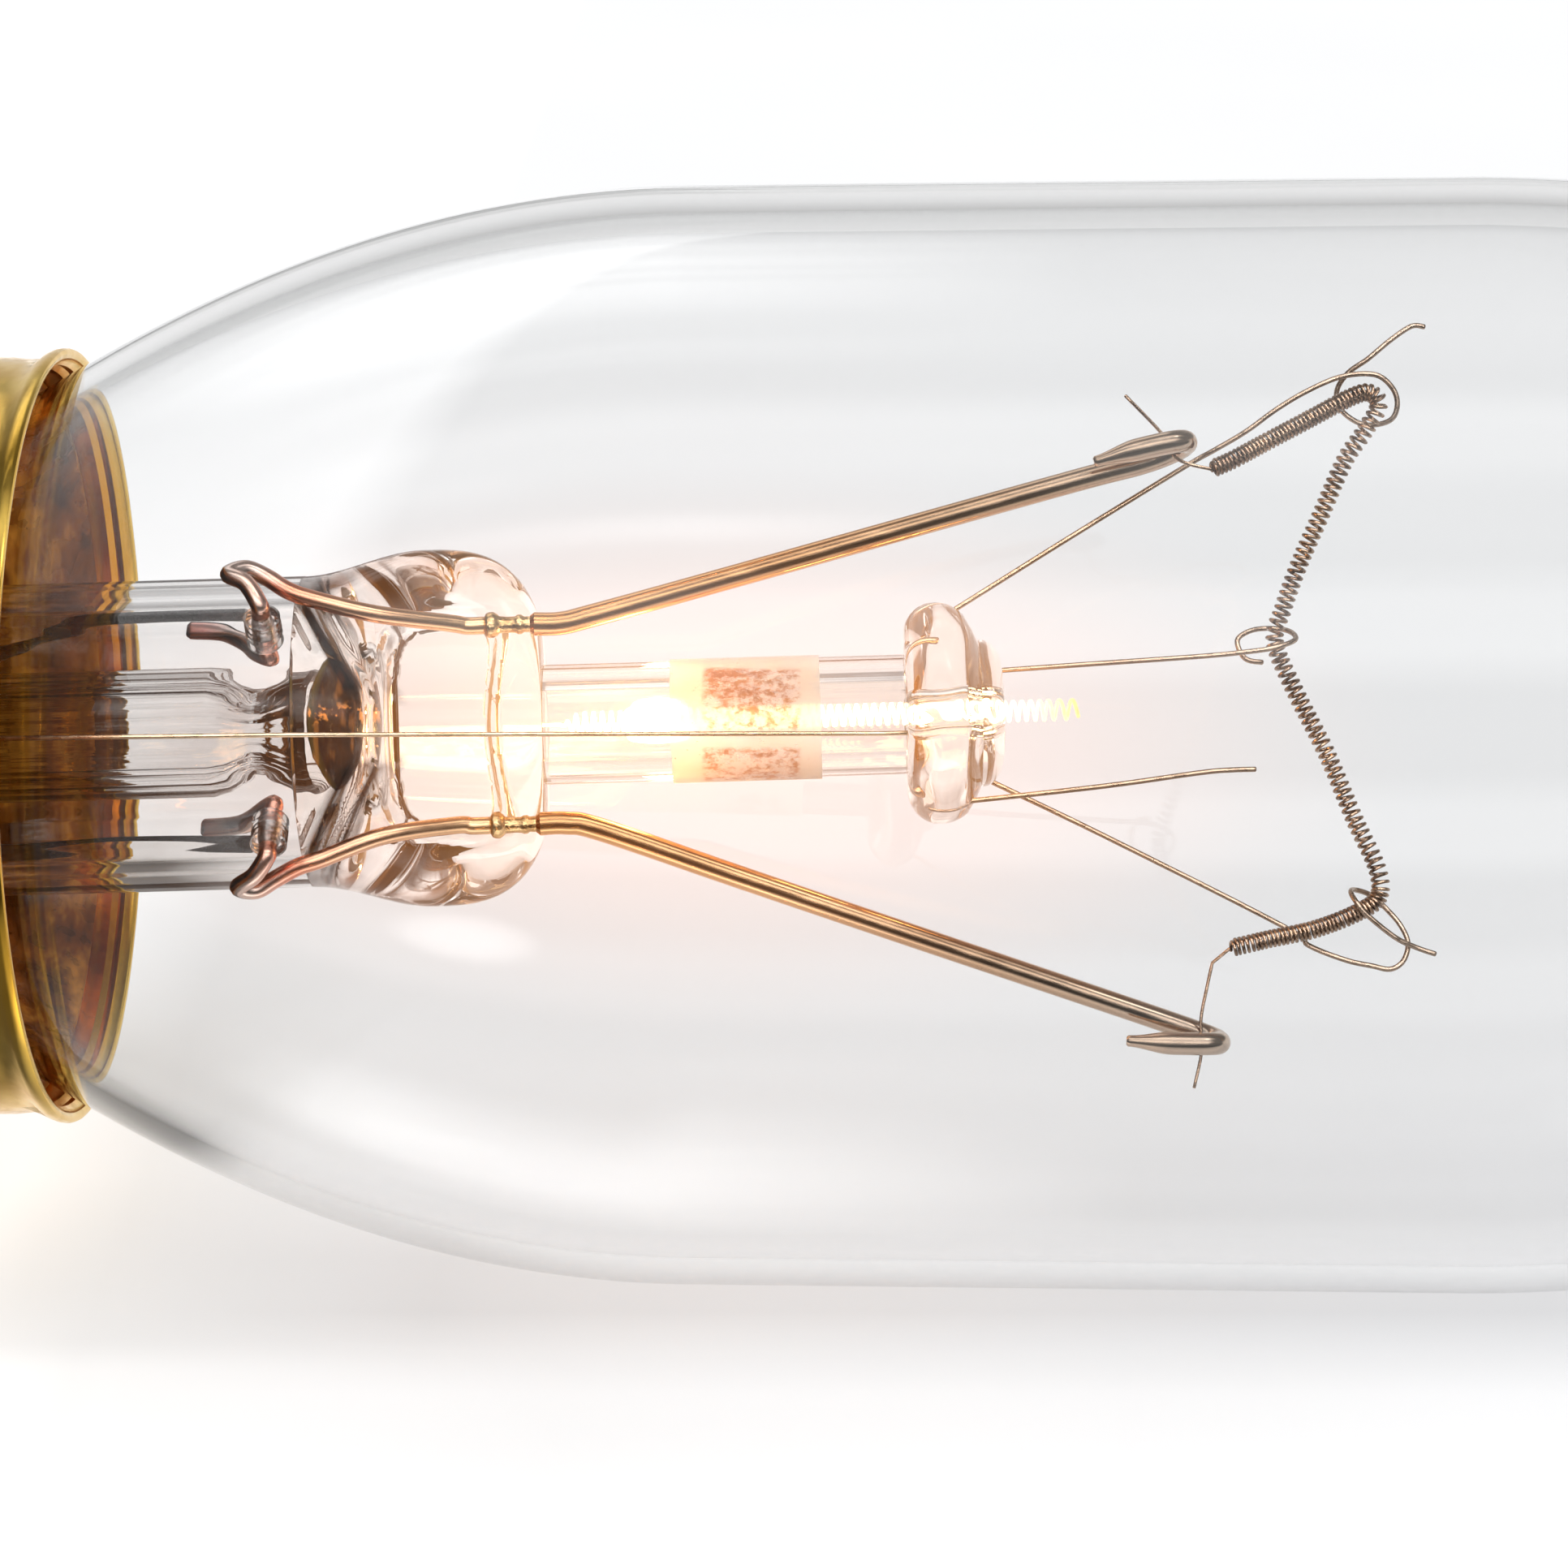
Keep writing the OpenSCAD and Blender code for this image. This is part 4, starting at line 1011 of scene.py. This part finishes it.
upper = shifted([(-3.7, 0, 7.65), (-3.6, 0, 5.6), (-3.0, 0, 3.3), (-1.3, 0, 2.2)], -SKIRT_LEN)
upper += in_tube([(-3, 1.12, 90), (-1.3, 1.02, 90), (-0.4, 0.67, 90), (0.7, 0.36, 86), (1.9, 0.3, 84)], 0)
upper += in_tube([(-1.75, 0.29, 79), (-0.65, 0.3, 74)], BEAD_X)
wire("feed_upper", upper, OUTER_D, blackened_wire, "blackened_wire", "outer_lead_upper")
lower = [(x, 0, (TILT_X - x) * math.tan(STEM_TILT)) for x in (CONTACT_X + 0.55, SHELL_END + 0.5, SHELL_END + 2.3)]
lower += shifted([(-1.6, 0, -0.5), (-0.4, 0, -1.7), (2.4, 0, -2.2)], -10.4)
end = in_tube([(-4, 0.62, 90), (-1.3, 0.42, 90), (-0.2, 0.52, 90), (1.1, 0.67, 90)], 0)
end += in_tube([(-1.95, 0.59, 80), (-0.65, 0.47, 74)], BEAD_X)
wire("feed_lower", lower + mirrored(end, -1), OUTER_D, blackened_wire, "blackened_wire", "outer_lead_lower")

weld_round = math.sqrt(1 - (WELD_Z / press_half_w(press_part(WELD_X))) ** 2)
WELD_Y = -(press_half_t(press_part(WELD_X)) * weld_round + WELD_KNOT + 3 * PLAY)


def seal_wire(end, stub, hairpin, over, side):
    route = in_tube(stub, BEAD_X)
    route += [bead_point(r) for r in (BEAD_FROM - 0.4, BEAD_FROM - 0.05, BEAD_TO + 0.05, BEAD_TO + 0.3)]
    route += round_tube(hairpin, BEAD_X) + on_press(over)
    route += [(WELD_X - 0.4, WELD_Y, WELD_Z), (WELD_X - 0.01, WELD_Y, WELD_Z)]
    wire("copper_" + end, mirrored(route, side), SEAL_D, copper_wire, "copper_wire", "seal_wire_" + end)


seal_wire(
    "upper", [(-1.85, 0.61, 72), (-0.9, 0.63, 64)],
    [(-0.3, 0.82, 48), (-0.7, 0.85, 52), (-0.35, 0.79, 56), (0.1, 0.59, 55), (0.6, 0.4, 51)],
    [(0.11, 0.27, 47), (0.345, 0.32, 36), (0.635, 0.41, 31)], 1,
)
seal_wire(
    "lower", [(-1.65, 0.8, 71), (-0.8, 0.74, 61)],
    [(-0.3, 0.78, 47), (-0.7, 0.79, 52), (-0.35, 0.73, 55), (0.1, 0.54, 53), (0.6, 0.39, 50)],
    [(0.09, 0.31, 47), (0.345, 0.32, 34), (0.63, 0.37, 30)], -1,
)

knot = [(0, 0.0), (0.0, 0.2), (0.04, 0.27), (0.1, WELD_KNOT), (0.2, WELD_KNOT), (0.28, 0.25), (0.34, 0.19)]
knot += [(0.5, 0.175), (0.68, 0.18), (0.75, 0.22), (0.82, 0.22), (0.88, 0.18), (1.0, 0.18)]
knot += [(WELD_LEN, 0.18), (WELD_LEN, 0.0)]
for end, side in SIDES:
    piece(
        "joint_" + end, *lathe(knot, 32, closed=False, shape=lumpy(0.06, 3.0, side)),
        STEM @ Matrix.Translation((WELD_X, WELD_Y, side * WELD_Z)), weld, "weld", ["weld_joint_" + end],
    )

CLAMP_Y = -(LEAD_D + FILAMENT_D) / 2 - PLAY


def inner_lead(end, route, fold, side):
    """A thick lead whose end is folded over at the last point of route; fold gives the fold's heights."""
    far = shifted(route, HEAD_X)
    turn_x = far[-1][0]
    start = WELD_X + WELD_LEN
    near = [
        (start + 0.01, WELD_Y, side * WELD_Z), (start + 0.6, WELD_Y + 0.03, side * WELD_Z),
        (start + 1.35, WELD_Y + 0.18, side * (WELD_Z + 0.17)),
    ]
    bend = [
        (turn_x + 0.3, CLAMP_Y, fold[0]), (turn_x, 2 * CLAMP_Y, fold[1]),
        (turn_x - 0.9, 2 * CLAMP_Y, fold[2]), (turn_x - 1.8, 2 * CLAMP_Y, fold[3]),
    ]
    path = spline(near + far + bend, 10)
    acc = lengths(path)
    radii = [LEAD_D / 2 * (1 - 0.5 * ease((s - acc[-1] + 1.0) / 1.0)) for s in acc]
    piece("lead_" + end, *tube(path, radii, 20), STEM, lead_wire, "lead_wire", ["inner_lead_" + end])


inner_lead(
    "upper",
    [(-6.1, -0.9, 3.22), (-2.4, -0.5, 4.17), (1.9, -0.1, 5.27), (3.3, 0, 5.6), (4.05, 0, 5.85)],
    [6.02, 6.02, 5.85, 5.62], 1,
)
inner_lead(
    "lower",
    [(-6.3, -1.0, -3.53), (-2.7, -0.6, -4.89), (1.0, -0.1, -6.28), (3.4, 0, -7.18), (4.4, 0, -7.57)],
    [-7.72, -7.72, -7.68, -7.6], -1,
)

supports = {
    "upper": [
        (-1.7, -0.1, 1.98), (-0.85, 0, 2.48), (1.35, 0.3, 3.78), (4.3, 0.62, 5.5), (5.1, 0.45, 5.92),
        (5.8, 0.25, 6.3), (6.5, 0.1, 6.78), (7.2, 0, 7.17), (8.0, -0.02, 7.48), (8.75, -0.05, 7.5),
        (9.15, 0, 7.2), (9.27, 0.05, 6.8), (9.1, 0.15, 6.45), (8.55, 0.4, 6.4), (8.05, 0.45, 6.75),
        (7.95, 0.42, 7.2), (8.2, 0.3, 7.6), (8.65, 0.15, 7.9), (9.15, 0.1, 8.3), (9.65, 0.1, 8.62),
        (9.95, 0.1, 8.6),
    ],
    "middle": [
        (-1.3, 0.8, 0.93), (-0.5, 0.8, 0.95), (2.0, 0.7, 1.05), (4.6, 0.55, 1.15), (5.7, 0.42, 1.22),
        (6.35, 0.35, 1.3), (6.85, 0.6, 1.48), (6.75, 1.0, 1.7), (6.3, 1.2, 1.78), (5.85, 1.1, 1.72),
        (5.55, 0.95, 1.5), (5.7, 0.8, 1.08), (6.1, 0.85, 0.98),
    ],
    "lower": [
        (-1.15, 0.6, -1.15), (-0.2, 0.6, -1.64), (2.3, 0.55, -2.94), (6.35, 0.35, -5.15), (6.9, 0.3, -5.6),
        (7.7, 0.1, -5.95), (8.3, 0, -6.1), (8.7, -0.1, -6.18), (9.0, -0.1, -6.0), (9.13, -0.05, -5.6),
        (9.0, 0.1, -5.2), (8.75, 0.3, -4.85), (8.4, 0.42, -4.5), (8.0, 0.3, -4.35), (7.85, -0.1, -4.4),
        (7.95, -0.4, -4.65), (8.2, -0.44, -4.95), (8.8, -0.4, -5.45), (9.3, -0.3, -5.7), (9.7, -0.3, -5.85),
    ],
    "spare": [
        (-1.7, -0.9, -2.05), (-0.8, -0.9, -2.02), (2.2, -0.85, -1.78), (4.4, -0.8, -1.54), (5.1, -0.8, -1.5),
        (5.65, -0.8, -1.5),
    ],
}
for end, route in supports.items():
    route = shifted(route, HEAD_X)
    wire("hook_" + end, route, SUPPORT_D, support_wire, "support_wire", "support_" + end, steps=6, sides=10)

front = FLARE_R + TIE_R + PLAY
piece(
    "tie_strand",
    *tube([
        (-1.2, -front, 0), (2.2, -front, -0.06), (FLARE_LEN, -front, -0.12), (12, -2.85, -0.28),
        (BUTTON_X - 0.6, -1.9, -0.45), (BUTTON_X - 0.01, -1.9, -0.45),
    ], TIE_R, 10),
    STEM, tie_metal, "support_wire", ["tie_wire"],
)

# Coils
start, stop = PRESS_END + 0.35, HEAD_X + 1.75
axis = [Vector((mix(start, stop, i / 60), 0, 0)) for i in range(61)]
turns = coil(
    axis, AXIAL_OD, AXIAL_D, lambda s: mix(0.2, 0.3, ease((s - (stop - start) + 0.9) / 0.6)),
    steps=14, wander=0.01, ends=(0.5, 0),
)
piece(
    "arbor_coil", *tube([Vector((PRESS_END + 0.02, 0, 0))] + turns, AXIAL_D / 2, 8),
    STEM, glowing_wire, "glowing_wire", ["axial_coil"],
)

filament_axis = shifted([
    (4.9, -0.33, 5.4), (5.4, -0.25, 5.6), (6.3, -0.15, 6.05), (7.2, -0.05, 6.5), (8.2, 0.05, 7.0),
    (8.65, 0.1, 7.1), (8.85, 0.1, 6.8), (8.5, 0.15, 6.2), (8.05, 0.25, 5.55), (7.5, 0.4, 4.35),
    (7.0, 0.6, 3.25), (6.6, 0.72, 2.2), (6.4, 0.8, 1.45), (6.8, 0.75, 0.35), (7.5, 0.6, -1.2),
    (8.05, 0.4, -2.7), (8.5, 0.15, -3.85), (8.5, 0, -4.5), (8.0, -0.1, -4.85), (7.0, -0.2, -5.2),
    (5.9, -0.3, -5.4), (5.0, -0.33, -5.58),
], HEAD_X)

# The winding is close up to the upper corner and from the lower one, and stretched between them
CORNER_A, CORNER_B = 4.2, 16.9
FINE, COARSE = 0.102, 0.175


def filament_pitch(s):
    return mix(FINE, COARSE, ease((s - CORNER_A + 0.1) / 0.5) * ease((CORNER_B + 0.1 - s) / 0.5))


def in_clamp(points):
    return spline([(HEAD_X + x, CLAMP_Y, z) for x, z in points], 4)


path = in_clamp([(3.0, 7.15), (3.85, 6.2), (4.1, 5.7), (4.5, 5.5)])
path += coil(
    spline(filament_axis, 12), FILAMENT_OD, FILAMENT_D, filament_pitch, steps=12, wander=0.02, ends=(0.12, 0.12),
)
path += in_clamp([(4.6, -5.9), (4.45, -6.5), (4.3, -7.2), (4.3, -7.9), (4.1, -8.75)])
piece("filament_coil", *tube(path, FILAMENT_D / 2, 8), STEM, filament_wire, "filament_wire", ["filament"])

# The one CAD solid that is shown as it is
side_solder = frame["nodes"]["side_solder"]
side_solder.data.materials.clear()
side_solder.data.materials.append(solder)

# Floor. It is seen as white, with a painted shadow beneath and in front of the bulb, painted light that raises it in
# front and by the base, painted shade behind the bulb's top, a painted reflection strip in front, and painted dark
# where the metal mirrors the camera's end
floor = Tree("floor")
path = floor.path()


def over(which, low, high, at_low, at_high):
    """From at_low to at_high between two places on the floor, in millimetres along X or Y."""
    return floor.ranged(floor.axis(which), low * MM, high * MM, at_low, at_high)


# Painted dark reflection: for mirrored rays the floor is dark in front, by the base's corner and, through glass, by
# the neck
corner = floor.times(over("X", -19, -12, 0.9, 0), over("Y", -4, 0, 1, 0))
neck = floor.times(path["Is Transmission Ray"], over("X", -14.5, -12.5, 0.8, 0))
mirrored_way = floor.maths("MINIMUM", path["Glossy Depth"], 1.0)
dark = floor.times(mirrored_way, floor.maths("MAXIMUM", over("Y", -30, -8, 1, 0), corner, neck))
seen = floor.maths("MAXIMUM", path["Is Transmission Ray"], path["Is Glossy Ray"])
seen = floor.maths("MAXIMUM", path["Is Camera Ray"], floor.maths("SUBTRACT", seen, dark))
grain = floor.ramp(floor.noise(0.02, detail=2.0), greys([(0.3, 0.54), (0.7, 0.56)]))
matt = floor.add("BsdfDiffuse", Color=floor.blend(dark, grain, (0.06, 0.06, 0.06)))
# Painted shadow: the floor's white is lowered in a band beneath and in front of the bulb
across = over("Y", -8, 8, 0, 1)
painted_shadow = floor.ramp(across, greys([(0.01, 0), (0.25, 0.2), (0.41, 0.17), (0.55, 0.08), (0.97, 0)]))
# Painted light: the floor's white rises towards the front, and beside and in front of the base, fading the real shadow
# there
level = floor.maths("SUBTRACT", over("Y", -16, -4, 0.66, 0.52), floor.times(painted_shadow, over("X", -14.5, -7, 0, 1)))
painted_light_near_base = floor.times(over("X", -14, -4, 0.1, 0), floor.ranged(across, 0.08, 0.16, 1, 0))
level = floor.plus(level, over("X", -18, -14.8, 0.2, 0), painted_light_near_base)
# Painted shade: the floor seen through the glass behind the bulb's top is made a little darker
painted_top_shade = floor.times(over("Y", 45, 70, 0, 0.04), over("Y", 105, 125, 1, 0), path["Is Transmission Ray"])
level = floor.maths("SUBTRACT", level, painted_top_shade)
# Painted reflection: a bright strip on the floor in front, seen only by mirrored rays, for a soft box's reflection in
# the bulb
strip = floor.times(
    over("Y", -15.5, -12.5, 0, 1), path["Is Glossy Ray"], over("Y", -10.5, -8.5, 1.5, 0),
    over("X", -2, 9, 1, 0), over("X", -17, -11, 0, 1),
)
level = floor.plus(floor.times(seen, level), strip)
both = floor.add("AddShader")
floor.put(both, 0, matt.outputs[0])
floor.put(both, 1, floor.add("Emission", Color=(1, 1, 1, 1), Strength=level).outputs[0])
floor.finish(both)
bpy.ops.mesh.primitive_plane_add(size=6, location=(0, 0, -0.00002))
ground = bpy.context.object
ground.name = "studio_floor"
ground.data.materials.append(floor.material)

# Warm haze round the glowing coil, which is light and no part of the lamp
HAZE_AT = STEM @ Vector((14.5, 2.5, -0.6))
HAZE_REACH = (17.5, 8.0, 7.0)
HAZE_STRENGTH = 34.0
haze = Tree("glow_haze")
spread = haze.add(
    "Mapping", Vector=haze.place,
    Location=tuple(-c / r for c, r in zip(HAZE_AT, HAZE_REACH)), Scale=tuple(1000 / r for r in HAZE_REACH),
)
away = haze.maths("POWER", haze.vector("LENGTH", spread.outputs[0]), 2.0)
fall = haze.maths("POWER", haze.ranged(away, 0, 1, 1, 0), 1.5)
strength = haze.times(fall, HAZE_STRENGTH)
haze.finish(haze.add("Emission", Color=(1.0, 0.3, 0.03, 1), Strength=strength), "Volume")
bpy.ops.mesh.primitive_uv_sphere_add(segments=48, ring_count=24, radius=1, location=(0, 0, 0))
ball = bpy.context.object
ball.name = "glow_haze"
for vertex in ball.data.vertices:
    vertex.co = [(c + v * r) * MM for c, v, r in zip(HAZE_AT, vertex.co, HAZE_REACH)]
ball.data.materials.append(haze.material)
ball.visible_diffuse = False

# Studio: white where it is looked at, and with soft boxes where it is mirrored
sky = Tree("studio", world=True)
way = sky.add("SeparateXYZ", Vector=sky.place).outputs
turn = sky.maths("ARCTAN2", way["Z"], sky.times(way["Y"], -1.0))
turn = sky.times(turn, 1 / math.pi)
walls, box = (sky.ramp(turn, greys([(a / 180, v) for a, v in stops])) for stops in (STUDIO_WALLS, SOFT_BOX))
ends = sky.ranged(sky.maths("ABSOLUTE", way["X"]), 0.45, 0.75, 0, 1)
walls = sky.blend(ends, walls, (0.12, 0.12, 0.12))
box_ends = sky.times(
    sky.ranged(way["X"], *SOFT_BOX_START, 0, 1), sky.ranged(way["X"], *SOFT_BOX_END, 1, 0),
)
overhead = sky.vector("DOT_PRODUCT", sky.place, OVERHEAD_WAY)
overhead = sky.ranged(overhead, math.cos(math.radians(7)), math.cos(math.radians(3)), 0, 2.5)
mirrored_light = sky.plus(walls, sky.times(box, box_ends), overhead)
path = sky.path()
straight = sky.maths("SUBTRACT", 1.0, sky.maths("MINIMUM", path["Glossy Depth"], 1.0))
bent = sky.times(straight, path["Is Transmission Ray"], 0.72)
mirrored_light = sky.maths("MAXIMUM", mirrored_light, bent)
behind = sky.maths("MAXIMUM", straight, sky.ranged(way["Y"], -0.2, 0.1, 0, 1))
horizon = sky.times(path["Is Transmission Ray"], sky.ranged(way["Z"], 0.12, 0.3, 1, 0), behind)
shown = sky.blend(sky.maths("MAXIMUM", path["Is Camera Ray"], horizon), mirrored_light, (1, 1, 1))
seen = sky.maths("MAXIMUM", path["Is Camera Ray"], path["Is Glossy Ray"], path["Is Transmission Ray"])
sky.finish(sky.mixed(
    seen,
    sky.add("Background", Color=(0.95, 0.97, 1.0, 1), Strength=0.45),
    sky.add("Background", Color=shown, Strength=1.0),
))


# Lamps
def area(name, azimuth, elevation, size, power):
    """A soft lamp a metre away. azimuth 0 is the camera's side and 180 behind the object."""
    a, e = math.radians(azimuth), math.radians(elevation)
    away = Vector((math.sin(a) * math.cos(e), -math.cos(a) * math.cos(e), math.sin(e)))
    data = bpy.data.lights.new(name, "AREA")
    data.shape = "RECTANGLE"
    data.size, data.size_y = size
    data.energy = power
    ob = linked(name, data)
    ob.location = Vector((0, 0, AXIS_Z * MM)) + away
    ob.rotation_euler = away.to_track_quat("Z", "Y").to_euler()
    ob.visible_glossy = False
    ob.visible_transmission = False
    return ob


area("key_back", 190, 50, (0.9, 0.4), 2.6)
area("top", 0, 80, (0.7, 0.7), 2.0)
area("front", 10, 40, (0.9, 0.5), 1.6)

# Two strip lamps that light only the bright wires and the beads
BRIGHT = ("lead_", "copper_", "joint_", "hook_", "tie_", "filament_", "bead_")
wires = bpy.data.collections.new("wires")
for ob in bpy.context.scene.objects:
    if ob.name.startswith(BRIGHT):
        wires.objects.link(ob)
for name, elevation, power in (("wire_strip_high", 66, 22.0), ("wire_strip_low", 30, 9.0)):
    ob = area(name, 0, elevation, (1.2, 0.4), power)
    ob.visible_glossy = True
    ob.data.cycles.use_multiple_importance_sampling = False
    ob.light_linking.receiver_collection = wires

glow = bpy.data.lights.new("coil_glow", "POINT")
glow.energy = 0.0012
glow.color = (1.0, 0.55, 0.24)
glow.shadow_soft_size = 0.0012
linked("coil_glow", glow).location = GLOW

# Camera, looking along +Y and 20 degrees down, at a place a little below the lamp's axis
VIEW = math.radians(20)
PICTURE = 1932
FOCAL_PX = 4449
SENSOR = 36
AIM_X, AIM_DOWN, DISTANCE = 0.00118, 0.0011, 0.083
camera = bpy.data.cameras.new("camera")
camera.sensor_width = SENSOR
camera.sensor_fit = "HORIZONTAL"
camera.lens = FOCAL_PX * SENSOR / PICTURE
camera.clip_start = 0.001
camera.dof.use_dof = False
camera_ob = linked("camera", camera)
up = Vector((0, math.sin(VIEW), math.cos(VIEW)))
aim = Vector((AIM_X, 0, AXIS_Z * MM)) - up * AIM_DOWN
camera_ob.location = aim + Vector((0, -math.cos(VIEW), math.sin(VIEW))) * DISTANCE
camera_ob.rotation_euler = (math.pi / 2 - VIEW, 0, 0)
bpy.context.scene.camera = camera_ob
bpy.context.scene.view_settings.view_transform = "Standard"
